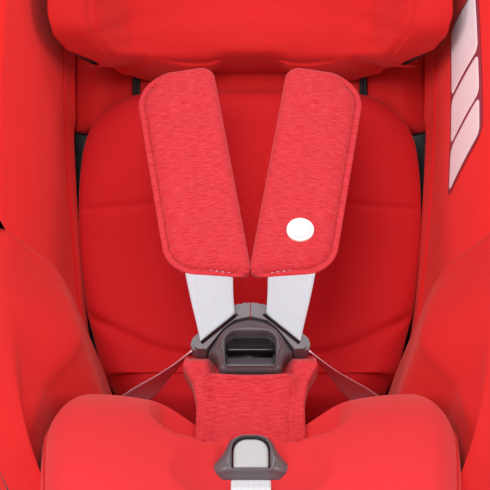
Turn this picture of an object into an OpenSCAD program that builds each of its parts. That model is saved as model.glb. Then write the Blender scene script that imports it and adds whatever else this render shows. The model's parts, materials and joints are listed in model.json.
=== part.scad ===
// Convertible child car seat: a padded bucket that reclines on an arc-shaped track in an anchored base.
// Millimetres. +Z is up, -Y is the side that the child faces, and z = 0 is the underside of the rubber feet.

/* [Recline track] */
// Height of the recline axis, which passes above the seat pan
axis_z = 506; // [500:1:515]
// Distance of the recline axis behind the middle of the base
axis_y = 10; // [5:1:15]
// Radius of the sled's underside about the recline axis
sled_r = 412; // [408:1:414]
// Full recline from upright, in degrees
recline_travel = 16; // [8:1:16]
// Distance of each rail from the middle
rail_x = 96; // [90:1:104]

/* [Base] */
// Half of the base's width
base_half_w = 165; // [162:1:175]
// Front end of the base
base_front = -214; // [-216:1:-205]
// Rear end of the base
base_rear = 235; // [230:1:245]
// Wall of the base's mouldings
base_wall = 3; // [2.5:0.5:4]
// Height of the line where tray and cover meet
base_split = 62; // [60:1:66]

/* [Anchor arms] */
// Half of the distance between the two lower anchors
anchor_half = 140; // [138:1:142]
// Diameter of the vehicle's anchor bar
anchor_bar = 6; // [5.8:0.1:6.2]
// Distance that the arms pull out
arm_travel = 90; // [60:5:90]
// Height of the arms' middle
arm_z = 36; // [35:1:38]

/* [Shell] */
// Wall of the seat shell
shell_wall = 6; // [4:0.5:6]
// Depth of the cavity behind the backrest
cavity = 36; // [34:1:40]
// Distance that the headrest slides up
headrest_travel = 102; // [60:6:102]

/* [Harness] */
// Width of the webbing
webbing_w = 38; // [35:1:39]
// Thickness of the webbing
webbing_t = 1.4; // [1.2:0.1:1.6]
// Width of a shoulder pad
pad_w = 68; // [64:1:70]
// Length of a shoulder pad
pad_l = 204; // [180:1:206]

/* [Hidden] */
$fn = 64;

red = [0.86, 0.16, 0.17];
light_red = [0.92, 0.24, 0.27];
charcoal = [0.20, 0.20, 0.21];
warm_grey = [0.42, 0.37, 0.40];
steel = [0.66, 0.67, 0.69];
silver = [0.84, 0.83, 0.82];
web_grey = [0.88, 0.88, 0.90];
black = [0.06, 0.06, 0.07];

// ---------- curves and lofted sheets ----------

// One Catmull-Rom step between b and c.
function curve_step(a, b, c, d, t) =
  0.5 * (2 * b + (c - a) * t + (2 * a - 5 * b + 4 * c - d) * t * t + (3 * b - a - 3 * c + d) * t * t * t);

// The row of a station table at u, which runs from 0 to the last row's index.
function station(table, u) =
  let (n = len(table), i = max(0, min(floor(u), n - 2)))
  curve_step(table[max(i - 1, 0)], table[i], table[i + 1], table[min(i + 2, n - 1)], u - i);

function unit(v) = v / norm(v);
function smooth(a, b, x) = let (t = max(0, min(1, (x - a) / (b - a)))) t * t * (3 - 2 * t);

// Half of a U-shaped section: a flat floor, a rounded corner and a flared wall. t runs from 0 to 1.
FLOOR_END = 0.46;
WALL_START = 0.62;
function section(floor_w, edge_w, depth, corner, t) =
  let (
    wall = unit([edge_w - floor_w, depth]),
    bend = [floor_w, 0] + wall * corner,
    c = (t - FLOOR_END) / (WALL_START - FLOOR_END)
  )
  t <= FLOOR_END ? [(floor_w - corner) * t / FLOOR_END, 0]
  : t < WALL_START ? [floor_w - corner, 0] * (1 - c) * (1 - c) + [floor_w, 0] * 2 * c * (1 - c) + bend * c * c
  : bend + ([edge_w, depth] - bend) * (t - WALL_START) / (1 - WALL_START);

// A station row is [floor y, floor z, rim y, rim z, floor half-width, rim half-width].
// The point at u along the bucket and t across it, raised by n above the bucket's own surface. Raised points
// also draw in from the sides by a share of n.
function bucket_point(table, corner, u, t, n, share = 1) =
  let (
    s = station(table, u),
    ahead = station(table, min(u + 0.02, len(table) - 1)),
    behind = station(table, max(u - 0.02, 0)),
    along = unit([ahead[0] - behind[0], ahead[1] - behind[1]]),
    inward = [-along[1], along[0]],
    rim = [s[2] - s[0], s[3] - s[1]],
    depth = norm(rim),
    q = section(s[4] - share * n, s[5] - share * n, depth, corner, abs(t)),
    yz = [s[0], s[1]] + inward * n * (1 - q[1] / depth) + rim / depth * q[1]
  )
  [sign(t) * q[0], yz[0], yz[1]];

function steps(a, b, count) = [for (i = [0:count]) a + (b - a) * i / count];

// Two triangles for each cell of a sheet of rows by cols cells, from point index `first`.
function sheet_faces(rows, cols, first, flip) = [
  for (i = [0:rows - 1], j = [0:cols - 1])
    let (a = first + i * (cols + 1) + j, b = a + 1, c = a + cols + 1, d = c + 1)
    each flip ? [[a, b, d], [a, d, c]] : [[a, d, b], [a, c, d]]
];

// The band that joins the borders of two equal sheets, the second starting at index `second`.
function border_faces(rows, cols, second) =
  let (
    w = cols + 1,
    loop = [
      for (j = [0:cols - 1]) j,
      for (i = [0:rows - 1]) i * w + cols,
      for (j = [cols:-1:1]) rows * w + j,
      for (i = [rows:-1:1]) i * w
    ],
    n = len(loop)
  )
  [
    for (k = [0:n - 1])
      let (p = loop[k], q = loop[(k + 1) % n]) each [[p, q, q + second], [p, q + second, p + second]]
  ];

// A closed solid between an upper and a lower sheet of points, each a list of equal rows.
module sheet_solid(upper, lower) {
  rows = len(upper) - 1;
  cols = len(upper[0]) - 1;
  count = (rows + 1) * (cols + 1);
  polyhedron(
    points = [for (r = upper) each r, for (r = lower) each r],
    faces = concat(
      sheet_faces(rows, cols, 0, false),
      sheet_faces(rows, cols, count, true),
      border_faces(rows, cols, count)
    )
  );
}

// ---------- the bucket of the seat ----------

// Rows: front hem, front face, front crest, pan front, pan rear, bight, lumbar, low back, mid back, shoulder,
// high back, top.
BUCKET = [
  [-238, 166, -240, 176, 112, 122],
  [-250, 190, -254, 216, 132, 158],
  [-214, 216, -228, 264, 144, 184],
  [-130, 196, -172, 308, 144, 200],
  [-30, 166, -108, 348, 142, 208],
  [66, 146, -58, 380, 138, 212],
  [130, 182, -34, 410, 138, 214],
  [155, 240, -8, 452, 148, 215],
  [195, 345, 34, 514, 158, 215],
  [235, 450, 98, 585, 162, 212],
  [271, 545, 182, 635, 158, 201],
  [298, 612, 280, 652, 144, 176]
];
BUCKET_CORNER = 26;
TOP_U = len(BUCKET) - 1;
function seat_point(u, t, n, share = 1) = bucket_point(BUCKET, BUCKET_CORNER, u, t, n, share);

// The backrest is straight between these rows, so parts that slide on it use its angle.
back_angle = atan2(BUCKET[9][0] - BUCKET[8][0], BUCKET[9][1] - BUCKET[8][1]);
// Frame of the backrest: origin on the shell at the mid-back row, z up the backrest, -y towards the child.
module on_back() {
  translate([0, BUCKET[8][0], BUCKET[8][1]]) rotate([-back_angle, 0, 0]) children();
}

// Parts are drawn on the right, at +X, and mirrored for the left.
module on_side(side) {
  mirror([side == "left" ? 1 : 0, 0, 0]) children();
}

// ---------- primitives about the recline axis ----------

// A ring segment about the recline axis. Angles run from straight down, positive to the rear.
module track_arc(r_in, r_out, x0, x1, a0, a1) {
  turn = [
    [0, 0, 1, 0],
    [sin(a0), cos(a0), 0, axis_y],
    [-cos(a0), sin(a0), 0, axis_z],
    [0, 0, 0, 1]
  ];
  multmatrix(turn)
    rotate_extrude(angle = a1 - a0, $fn = 360) translate([r_in, x0]) square([r_out - r_in, x1 - x0]);
}

// A full cylinder about the recline axis.
module track_drum(r, x0, x1) {
  translate([x0, axis_y, axis_z]) rotate([0, 90, 0]) cylinder(r = r, h = x1 - x0, $fn = 200);
}

// A slab with round vertical corners, between two corner points of its plan.
module rounded_slab(x0, y0, x1, y1, z0, z1, r) {
  translate([x0 + r, y0, z0]) cube([x1 - x0 - 2 * r, y1 - y0, z1 - z0]);
  translate([x0, y0 + r, z0]) cube([x1 - x0, y1 - y0 - 2 * r, z1 - z0]);
  for (x = [x0 + r, x1 - r], y = [y0 + r, y1 - r])
    translate([x, y, z0]) cylinder(r = r, h = z1 - z0);
}

module bar_x(x0, x1, y, z, r) {
  translate([x0, y, z]) rotate([0, 90, 0]) cylinder(r = r, h = x1 - x0);
}

// ---------- base ----------

rail_flange = [sled_r + 5, sled_r + 10];
cradle_r = sled_r + 20;
rail_seat_r = cradle_r - 0.1;
cheek_r = sled_r + 3;
rail_from = -33;
rail_to = 19;
rack_half = 14;
lock_steps = 6;
foot_h = 4;
base_corner = 36;
arm_w = 20;
arm_h = 24;
guide_from = 130;
guide_to = 214;
guide_wall = 2.5;
crossbar_r = 6;
crossbar_y = guide_from - arm_travel - crossbar_r - 2;
slot_gap = 1;

module base_block(inset, z0, z1) {
  half_w = base_half_w - inset;
  rounded_slab(-half_w, base_front + inset, half_w, base_rear - inset, z0, z1, base_corner - inset);
}

module arm_openings(y0, y1, grow) {
  for (s = [-1, 1])
    translate([s * anchor_half - arm_w / 2 - grow, y0, arm_z - arm_h / 2 - grow])
      cube([arm_w + 2 * grow, y1 - y0, arm_h + 2 * grow]);
}

SCREWS = [for (x = [-1, 1], y = [-125, 0, 155]) [x * 118, y]];

module base_tray() {
  color(charcoal) difference() {
    union() {
      difference() {
        base_block(0, foot_h, base_split);
        base_block(base_wall, foot_h + base_wall, base_split + 1);
      }
      for (p = SCREWS) translate([p[0], p[1], foot_h]) cylinder(r = 6, h = base_split - foot_h);
      for (s = [-1, 1]) translate([s * anchor_half - 11, guide_from, foot_h])
        cube([22, guide_to - guide_from, arm_z - arm_h / 2 - slot_gap - guide_wall - foot_h]);
    }
    for (p = SCREWS) translate([p[0], p[1], foot_h - 1]) cylinder(r = 2.2, h = base_split);
    arm_openings(guide_to - 1, base_rear + 10, 3.6);
    for (s = [-1, 1]) bar_x(s * base_half_w - 10, s * base_half_w + 10, 60, arm_z, 12.2);
  }
}

module base_cover() {
  top = 190;
  color(charcoal) difference() {
    base_block(0, base_split, top);
    difference() {
      base_block(base_wall, base_split - 1, top);
      track_drum(cradle_r + base_wall, -base_half_w, base_half_w);
    }
    track_drum(cheek_r, -base_half_w - 1, base_half_w + 1);
    track_drum(cradle_r, -rail_x - 28, rail_x + 28);
  }
}

FEET = [[0, 0], for (x = [-1, 1], y = [-160, 185]) [x * 110, y]];
module base_feet() {
  color(black) for (p = FEET) translate([p[0], p[1], 0]) rounded_slab(-22, -14, 22, 14, 0, foot_h, 8);
}

module base_screws() {
  color(steel) for (p = SCREWS) translate([p[0], p[1], foot_h]) {
    translate([0, 0, -2]) cylinder(r = 4.5, h = 2);
    cylinder(r = 2.1, h = base_split - foot_h - 4);
  }
}

module recline_rails() {
  color(steel) for (s = [-1, 1]) {
    track_arc(rail_flange[0], rail_flange[1], s * rail_x - 9, s * rail_x + 9, rail_from, rail_to);
    track_arc(rail_flange[1], rail_seat_r, s * rail_x - 4, s * rail_x + 4, rail_from, rail_to);
  }
}

// A toothed arc in the middle of the cradle that the lock bar drops into.
module recline_rack() {
  tooth_step = recline_travel / lock_steps;
  color(steel) difference() {
    track_arc(sled_r + 12.5, rail_seat_r, -rack_half, rack_half, -recline_travel - 3, 4);
    for (i = [0:lock_steps]) translate([0, axis_y, axis_z]) rotate([-i * tooth_step, 0, 0])
      translate([-rack_half - 1, -4.5, -cradle_r + 3]) cube([2 * rack_half + 2, 9, 9]);
  }
}

module arm_guides() {
  color(steel) difference() {
    for (s = [-1, 1]) translate([s * anchor_half, (guide_from + guide_to) / 2, arm_z])
      cube(
        [arm_w + 2 * (slot_gap + guide_wall), guide_to - guide_from, arm_h + 2 * (slot_gap + guide_wall)],
        center = true
      );
    arm_openings(0, 300, slot_gap);
  }
}

module arm_button(side) {
  color(warm_grey) on_side(side) {
    bar_x(base_half_w - 5, base_half_w + 1.5, 60, arm_z, 12);
    bar_x(base_half_w - 9, base_half_w - 5, 60, arm_z, 5);
  }
}

// ---------- anchor arms ----------

connector_y = 246;
connector_l = 82;
connector_half_w = 13;
connector_half_h = 16;
hook_half_w = 4;
bar_seat_y = connector_y + connector_l - 13;
bar_seat_r = anchor_bar / 2 + 0.1;
jaw_pivot_y = bar_seat_y - 24;
jaw_pivot_z = arm_z + 9;

// Both arms and the tube that joins their front ends, so that they slide out together.
module arm_bars() {
  color(steel) {
    arm_openings(crossbar_y - crossbar_r - 2, connector_y, 0);
    bar_x(-anchor_half - arm_w / 2, anchor_half + arm_w / 2, crossbar_y, arm_z, crossbar_r);
  }
}

module connector(side) {
  x = side == "left" ? -anchor_half : anchor_half;
  rear = connector_y + connector_l;
  color(charcoal) difference() {
    union() {
      translate([x - connector_half_w, connector_y, arm_z - connector_half_h])
        cube([2 * connector_half_w, connector_l - connector_half_h, 2 * connector_half_h]);
      bar_x(x - connector_half_w, x + connector_half_w, rear - connector_half_h, arm_z, connector_half_h);
    }
    bar_x(x - 20, x + 20, bar_seat_y, arm_z, bar_seat_r);
    translate([x - 20, bar_seat_y, arm_z - bar_seat_r]) cube([40, 40, 2 * bar_seat_r]);
    translate([x - hook_half_w - 0.4, connector_y + 32, arm_z - 11]) cube([2 * hook_half_w + 0.8, 60, 60]);
    bar_x(x - 9, x + 9, jaw_pivot_y, jaw_pivot_z, 2.6);
    translate([x - 7.4, connector_y + 5, arm_z + connector_half_h - 5]) cube([14.8, 23, 10]);
  }
}

module jaw_pins() {
  color(steel) for (s = [-1, 1])
    bar_x(s * anchor_half - 8.8, s * anchor_half + 8.8, jaw_pivot_y, jaw_pivot_z, 2.5);
}

// The hook that closes behind the vehicle's anchor bar. Its claw is part of a ring about the bar.
module jaw(side) {
  x = side == "left" ? -anchor_half : anchor_half;
  claw_r = 8.6;
  reach = bar_seat_y - jaw_pivot_y;
  color(silver) difference() {
    union() {
      bar_x(x - hook_half_w, x + hook_half_w, jaw_pivot_y, jaw_pivot_z, 6);
      bar_x(x - hook_half_w, x + hook_half_w, bar_seat_y, arm_z, claw_r);
      translate([x - hook_half_w, jaw_pivot_y, arm_z + 4]) cube([2 * hook_half_w, reach, 8]);
    }
    bar_x(x - 10, x + 10, bar_seat_y, arm_z, bar_seat_r + 0.4);
    translate([x - 10, bar_seat_y - 20, arm_z - 20]) cube([20, 20 + bar_seat_r, 23]);
    bar_x(x - 10, x + 10, jaw_pivot_y, jaw_pivot_z, 2.56);
  }
}

module connector_button(side) {
  x = side == "left" ? -anchor_half : anchor_half;
  color("firebrick") {
    translate([x - 7, connector_y + 13, arm_z + connector_half_h - 4.6]) cube([14, 14.6, 5.6]);
    for (i = [0:2])
      translate([x - 7, connector_y + 15 + i * 4, arm_z + connector_half_h + 1]) cube([14, 1.6, 0.8]);
  }
}

// ---------- shell and recline ----------

slot_x0 = 43;
slot_x1 = 91;
slot_low = 84;
slot_high = 254;
cover_half_w = 118;
cover_low = -104;
cover_high = 276;
crotch_y = -130;
crotch_half = webbing_w / 2 + 1.5;

module shell_body() {
  us = steps(0, TOP_U, 26);
  half = [0.15, 0.3, 0.46, 0.51, 0.56, 0.62, 0.75, 0.87, 1];
  ts = [for (i = [len(half) - 1:-1:0]) -half[i], 0, each half];
  sheet_solid(
    [for (u = us) [for (t = ts) seat_point(u, t, 0)]],
    [for (u = us) [for (t = ts) seat_point(u, t, -shell_wall)]]
  );
}

// Long openings in the backrest for the shoulder straps and the headrest's stems.
module back_slots(y0, y1, grow) {
  on_back() for (s = [-1, 1])
    translate([(s > 0 ? slot_x0 : -slot_x1) - grow, y0, slot_low - grow])
      cube([slot_x1 - slot_x0 + 2 * grow, y1 - y0, slot_high - slot_low + 2 * grow]);
}

module crotch_opening() {
  translate([-crotch_half, crotch_y - 5, 172]) cube([2 * crotch_half, 10, 110]);
}

module lap_openings() {
  for (s = [-1, 1]) translate([s * 134 - 9, 72, 132]) cube([18, 36, 54]);
}

module seat_shell() {
  color(charcoal) difference() {
    shell_body();
    back_slots(-20, 20, 0);
    crotch_opening();
    lap_openings();
    adjuster_pocket(1.5);
  }
}

module rear_cover() {
  color(charcoal) on_back() difference() {
    plate(2 * cover_half_w, cover_low, cover_high, shell_wall + 1, shell_wall + cavity + 3, 34);
    plate(2 * (cover_half_w - 3), cover_low + 3, cover_high - 3, shell_wall, shell_wall + cavity, 31);
    translate([-tail_w / 2 - 3, shell_wall + 8, cover_low - 1]) cube([tail_w + 6, 22, 6]);
  }
}

SLED_FROM = -34;
SLED_TO = 22;
SLED_HALF = 126;

// An arc-shaped tray under the shell. Its side plates rise to the shell's underside.
module recline_sled() {
  roof = [for (u = steps(1.75, 5.6, 12)) let (p = seat_point(u, 0, -shell_wall - 2)) [p[1], p[2]]];
  color(charcoal) difference() {
    union() {
      track_arc(sled_r - 5, sled_r, -SLED_HALF, SLED_HALF, SLED_FROM, SLED_TO);
      intersection() {
        for (s = [-1, 1]) translate([s * (SLED_HALF - 20) - 2.5, 0, 0]) rotate([90, 0, 90])
          linear_extrude(5) polygon(concat(roof, [[126, 60], [-240, 60]]));
        track_arc(150, sled_r - 2, -SLED_HALF, SLED_HALF, SLED_FROM, SLED_TO);
      }
    }
    translate([-rack_half - 1, axis_y - 5, 60]) cube([2 * rack_half + 2, 10, 60]);
  }
}

// Blocks on the sled that hold the rails' flanges from both sides.
module slide_blocks() {
  color(black) for (s = [-1, 1], a = [-14, 8]) difference() {
    track_arc(sled_r + 0.1, sled_r + 16, s * rail_x - 14, s * rail_x + 14, a, a + 9);
    track_arc(rail_flange[0] - 0.5, rail_flange[1] + 0.5, s * rail_x - 9.5, s * rail_x + 9.5, a - 1, a + 10);
    track_arc(rail_flange[1], sled_r + 17, s * rail_x - 4.5, s * rail_x + 4.5, a - 1, a + 10);
  }
}

// The bar that drops into the rack's notches through a slot in the sled.
module recline_lock_bar() {
  color(steel) translate([-rack_half, axis_y - 4, axis_z - sled_r - 15.5]) cube([2 * rack_half, 8, 22]);
}

// A pull handle below the front of the shell, on a strip that runs back between sled and rails.
module recline_handle() {
  color(warm_grey) {
    track_arc(sled_r + 7, sled_r + 12, -12, 12, -34.6, -20.5);
    translate([-12, -237, 140]) cube([24, 15, 19]);
    difference() {
      rounded_slab(-54, -264, 54, -226, 137, 150, 16);
      rounded_slab(-42, -256, 42, -234, 130, 146, 10);
    }
  }
}

// ---------- soft pads in the bucket ----------

// A pad on the bucket between u0..u1 and t0..t1. low is its underside above the shell, and the top is domed.
module bucket_pad(u0, u1, t0, t1, rows, cols, low, height, share = 1) {
  us = steps(u0, u1, rows);
  ts = steps(t0, t1, cols);
  sheet_solid(
    [for (u = us) [for (t = ts) seat_point(u, t, height(u, t), share)]],
    [for (u = us) [for (t = ts) seat_point(u, t, low, share)]]
  );
}

// Zero at both ends of a span and one through its middle.
function dome(a, b, edge, x) = smooth(a, a + edge, x) * smooth(b, b - edge, x);

// The cushion is thick at the thighs and thinner between the legs.
function seat_pad_top(u, t) =
  30 + 10 * dome(0.4, 4.6, 0.9, u)
  + 28 * smooth(0.14, 0.36, abs(t)) * smooth(0.2, 1.5, u) * smooth(4.5, 3.0, u)
  - 14 * smooth(0.46, 0.56, abs(t));

module seat_pad() {
  color(red) difference() {
    bucket_pad(0.4, 4.55, -0.555, 0.555, 18, 18, 2, function (u, t) seat_pad_top(u, t), 0.2);
    crotch_opening();
    adjuster_pocket(1.2);
  }
}

module back_pad() {
  color(red) difference() {
    bucket_pad(6.2, 10.9, -0.53, 0.53, 12, 12, 2, function (u, t) 19 - 6 * smooth(0.44, 0.53, abs(t)));
    back_slots(-60, 20, 0);
  }
}

module wing_pads() {
  color(red) for (side = ["left", "right"]) on_side(side)
    bucket_pad(5.7, 10.9, 0.55, 0.98, 14, 8, 2, function (u, t) 15 - 6 * smooth(0.8, 1, t));
}

// The bolster swells above the level of the seat cushion, where the child's hip is.
function bolster_top(u, t) =
  9 + 38 * smooth(0.68, 0.8, t) * smooth(0.99, 0.84, t) * smooth(2.2, 4.0, u) * smooth(5.6, 4.6, u);
module hip_bolsters() {
  color(red) for (side = ["left", "right"]) on_side(side)
    bucket_pad(1.1, 5.3, 0.65, 0.98, 12, 8, 2, function (u, t) bolster_top(u, t));
}

// The insert is fullest over its lower half and thins towards its edge.
function insert_top(u, t) = 26 + 30 * smooth(4.75, 6.2, u) * smooth(8.72, 7.2, u) * smooth(0.48, 0.36, abs(t));

module infant_insert() {
  color(red)
    bucket_pad(4.75, 8.72, -0.48, 0.48, 14, 14, 24, function (u, t) insert_top(u, t), 0.25);
}

module instruction_label() {
  us = steps(7.9, 9.5, 8);
  ts = steps(0.80, 0.93, 3);
  color("mistyrose") sheet_solid(
    [for (u = us) [for (t = ts) seat_point(u, t, 16.2)]],
    [for (u = us) [for (t = ts) seat_point(u, t, 15.4)]]
  );
}

// ---------- headrest ----------

rod_x = 22;
rod_r = 4;
rod_y = shell_wall + 14;
notch_step = headrest_travel / lock_steps;
notch_low = 130;
strap_slot_z = 96;
carriage_low = 84;
carriage_h = 76;
stem_x = (slot_x0 + slot_x1) / 2;
stem_half = 20;

module guide_rods() {
  color(steel) on_back() for (s = [-1, 1])
    translate([s * rod_x, rod_y, -60]) cylinder(r = rod_r, h = 330);
}

module height_rack() {
  color(steel) on_back() difference() {
    translate([-8, shell_wall + 24, notch_low - 12]) cube([16, 4, headrest_travel + 34]);
    for (i = [0:lock_steps]) translate([-9, shell_wall + 22, notch_low + i * notch_step]) cube([18, 4, 10]);
  }
}

// The plate behind the shell that slides on the rods. Its stems pass through the slots to the headrest.
module headrest_carriage() {
  color(black) on_back() difference() {
    union() {
      translate([-slot_x1 + 1, shell_wall + 8, carriage_low]) cube([2 * slot_x1 - 2, 5, carriage_h]);
      for (s = [-1, 1]) {
        translate([s * rod_x, rod_y, carriage_low]) cylinder(r = rod_r + 4, h = carriage_h);
        translate([s * stem_x - stem_half, -23.5, carriage_low + 32])
          cube([2 * stem_half, shell_wall + 32, 34]);
      }
    }
    for (s = [-1, 1]) {
      translate([s * rod_x, rod_y, carriage_low - 1]) cylinder(r = rod_r + 0.05, h = carriage_h + 2);
      translate([s * stem_x - stem_half - 0.5, 0, strap_slot_z - 6]) cube([2 * stem_half + 1, 60, 12]);
    }
    translate([-11, shell_wall + 7, carriage_low + 40]) cube([22, 20, 22]);
  }
}

// Rows from the headrest's lower edge to its top:
// [back y, back z, wing y, wing z, back half-width, wing half-width].
HEAD_ROWS = [
  [213, 461, 154, 465, 92, 132],
  [218, 473, 120, 477, 118, 158],
  [233, 512, 102, 526, 124, 168],
  [250, 556, 118, 576, 122, 168],
  [267, 600, 154, 622, 112, 158],
  [279, 631, 210, 653, 88, 124],
  [285, 645, 252, 662, 64, 90]
];
HEAD_TOP = len(HEAD_ROWS) - 1;
head_wall = 4;
function head_point(u, t, n) = bucket_point(HEAD_ROWS, 30, u, t, n);
head_ts = [-1, -0.85, -0.72, -0.62, -0.54, -0.46, -0.23, 0, 0.23, 0.46, 0.54, 0.62, 0.72, 0.85, 1];

module headrest_shell() {
  us = steps(0, HEAD_TOP, 12);
  color(charcoal) sheet_solid(
    [for (u = us) [for (t = head_ts) head_point(u, t, head_wall)]],
    [for (u = us) [for (t = head_ts) head_point(u, t, 0)]]
  );
}

function head_pad_top(u, t) =
  head_wall + 10 + 26 * dome(-0.6, HEAD_TOP + 0.4, 1.6, u) * (1 - 0.45 * smooth(0.5, 0.7, abs(t)));
module headrest_pad() {
  us = steps(0.05, HEAD_TOP - 0.05, 12);
  color(red) sheet_solid(
    [for (u = us) [for (t = head_ts * 0.995) head_point(u, t, head_pad_top(u, t))]],
    [for (u = us) [for (t = head_ts * 0.995) head_point(u, t, head_wall + 0.5)]]
  );
}

// The squeeze handle on top of the headrest's back, and the bolt that it draws out of the height rack.
lever_z = 294;
module headrest_lever() {
  color(warm_grey) on_back() difference() {
    rounded_slab(-44, -22, 44, 4, lever_z, lever_z + 26, 7);
    translate([-30, -30, lever_z + 8]) cube([60, 60, 10]);
  }
}

module headrest_bolt() {
  color(steel) on_back() translate([-6, shell_wall + 15, notch_low + 0.3]) cube([12, 10.5, 9.4]);
}

// ---------- harness ----------

// The harness lies in a plane that slopes from the shoulder slots to the crotch slot.
// Frame: origin at the crotch slot, x to the right, z up the harness plane, -y towards the child's chest.
harness_low = [crotch_y, 238];
harness_angle = 48;
buckle_at = 73;
module on_harness() {
  translate([0, harness_low[0], harness_low[1]]) rotate([-harness_angle, 0, 0]) children();
}
module on_buckle() {
  on_harness() translate([0, 0, buckle_at]) children();
}
// The [y, z] of a point given in a frame whose z leans back by `angle`.
function leaning(origin, angle, y, z) = origin + [sin(angle), cos(angle)] * z + [cos(angle), -sin(angle)] * y;
function harness_yz(y, z) = leaning(harness_low, harness_angle, y, z);
function back_yz(y, z) = leaning([BUCKET[8][0], BUCKET[8][1]], back_angle, y, z);

pad_top_x = 65;
pad_low_x = 33;
pad_low = buckle_at + 74;
pad_y = -7;
pad_lean = asin((pad_top_x - pad_low_x) / pad_l);
module on_shoulder(side) {
  s = side == "left" ? -1 : 1;
  on_harness() translate([s * pad_low_x, pad_y, pad_low]) rotate([0, s * pad_lean, 0]) children();
}

// A flat plate with round corners in the x-z plane, between y0 and y1.
module plate(w, z0, z1, y0, y1, r) {
  rotate([90, 0, 0]) translate([0, 0, -y1]) rounded_slab(-w / 2, z0, w / 2, z1, 0, y1 - y0, r);
}

// A flat outline in the x-z plane, extruded between y0 and y1.
module outline_plate(outline, y0, y1) {
  rotate([90, 0, 0]) translate([0, 0, -y1]) linear_extrude(y1 - y0) polygon(outline);
}

// The points of a path moved sideways by d, mitred at its corners.
function beside(path, d) = [
  for (i = [0:len(path) - 1])
    let (
      last = len(path) - 1,
      before = unit(path[max(i, 1)] - path[max(i, 1) - 1]),
      after = unit(path[min(i, last - 1) + 1] - path[min(i, last - 1)]),
      mid = unit(before + after)
    )
    path[i] + [-mid[1], mid[0]] * d / (mid * before)
];

// Webbing that follows a path of [y, z] points and is w wide along x.
module webbing(path, x, w) {
  front = beside(path, webbing_t / 2);
  rear = beside(path, -webbing_t / 2);
  translate([x - w / 2, 0, 0]) rotate([90, 0, 90]) linear_extrude(w)
    polygon(concat(front, [for (i = [len(rear) - 1:-1:0]) rear[i]]));
}

// A pad folded round the strap: a sleeve with a flat passage through it.
module shoulder_pad(side) {
  color(light_red) on_shoulder(side) difference() {
    plate(pad_w, 0, pad_l, -8, 8, 20);
    translate([-webbing_w / 2 - 1, -1.6, -1]) cube([webbing_w + 2, 3.2, pad_l + 2]);
  }
}

module pad_badge() {
  color("white") on_shoulder("right")
    translate([-2, -8, 34]) rotate([90, 0, 0]) cylinder(r = 10.5, h = 0.8);
}

// The strap leaves the tongue's slanting slot and runs up through the pad.
strap_lean = [sin(pad_lean), cos(pad_lean)];
strap_low = [pad_low_x, pad_low - buckle_at];
strap_high = strap_low + strap_lean * (pad_l + 8);
module shoulder_strap(side) {
  across = [cos(pad_lean), -sin(pad_lean)] * webbing_w / 2;
  outline = [
    [38.6, 11.8], [11.6, 37.6], [9.5, 43], strap_low - across, strap_high - across, strap_high + across,
    strap_low + across
  ];
  color(web_grey) on_buckle() on_side(side)
    outline_plate(outline, pad_y - webbing_t / 2, pad_y + webbing_t / 2);
}

// The rest of both straps: from the pad into the backrest's slot and down behind it to the yoke.
module strap_risers() {
  behind = shell_wall + 17;
  pad_end = harness_yz(pad_y, buckle_at + strap_high[1] + 4);
  path = [pad_end, back_yz(-26, strap_slot_z), back_yz(behind, strap_slot_z), back_yz(behind, 0)];
  color(web_grey) for (s = [-1, 1]) webbing(path, s * stem_x, webbing_w);
}

// Webbing on edge, from behind the tongue's ear to the slot beside the hip and on to its anchor.
tongue_corner = [50, -62, 282];
hip_slot = [134, 94, 163];
lap_h = 20;
module lap_strap(side) {
  run = hip_slot - tongue_corner;
  turn = atan2(run[0], run[1]);
  pitch = atan2(run[2], norm([run[0], run[1]]));
  color(web_grey) on_side(side) {
    translate(tongue_corner) rotate([0, 0, -turn]) rotate([pitch, 0, 0])
      translate([-webbing_t / 2, 0, -lap_h / 2]) cube([webbing_t, norm(run), lap_h]);
    translate([hip_slot[0] - webbing_t / 2, hip_slot[1] - lap_h / 2, 136]) cube([webbing_t, lap_h, 26]);
  }
}

module crotch_strap() {
  color(web_grey) webbing([[crotch_y, 182], harness_low, harness_yz(0, buckle_at - 13)], 0, webbing_w);
}

module strap_anchors() {
  color(steel) {
    translate([-30, crotch_y - 9, 178]) cube([60, 18, 3]);
    for (s = [-1, 1]) translate([s * hip_slot[0] - 6, 80, 132]) cube([12, 28, 3]);
  }
}

// Two layers sewn round the crotch strap. The rear one is longer and lies behind the buckle.
module crotch_pad() {
  color(light_red) on_harness() difference() {
    union() {
      plate(88, 14, buckle_at - 20.5, -6, 9.5, 7);
      plate(88, 14, buckle_at + 8, 9.5, 13.5, 12);
    }
    translate([-webbing_w / 2 - 1, -1.6, 0]) cube([webbing_w + 2, 3.2, 80]);
  }
}

// ---------- buckle ----------

BUCKLE_HALF = [
  [0, -19.5], [22, -19.5], [24.8, -16.5], [25, -12], [27, -3], [34, 2], [20.8, 20.6], [13, 28], [0, 31.6]
];
blade_z = -6;
blade_h = 39;
module buckle_housing() {
  color(warm_grey) on_buckle() difference() {
    union() {
      outline_plate(BUCKLE_HALF, -14, 8);
      mirror([1, 0, 0]) outline_plate(BUCKLE_HALF, -14, 8);
    }
    plate(40, -15, 16, -20, -3, 5);
    translate([-17.5, -2, blade_z - 1]) cube([35, 4.2, 40]);
    translate([-webbing_w / 2 - 0.5, -1.5, -21]) cube([webbing_w + 1, 3, 10]);
    translate([0, 4.6, -16]) cylinder(r = 2.8, h = 9);
  }
}

module buckle_button() {
  color(black) on_buckle() {
    plate(38, -14, 15, -10, -7, 4);
    translate([-15, -11.5, 1]) cube([30, 2, 1.6]);
  }
}

module buckle_spring() {
  color(steel) on_buckle() translate([0, 4.6, -15.5]) difference() {
    cylinder(r = 2.6, h = 8);
    translate([0, 0, -1]) cylinder(r = 2, h = 10);
  }
}

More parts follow.
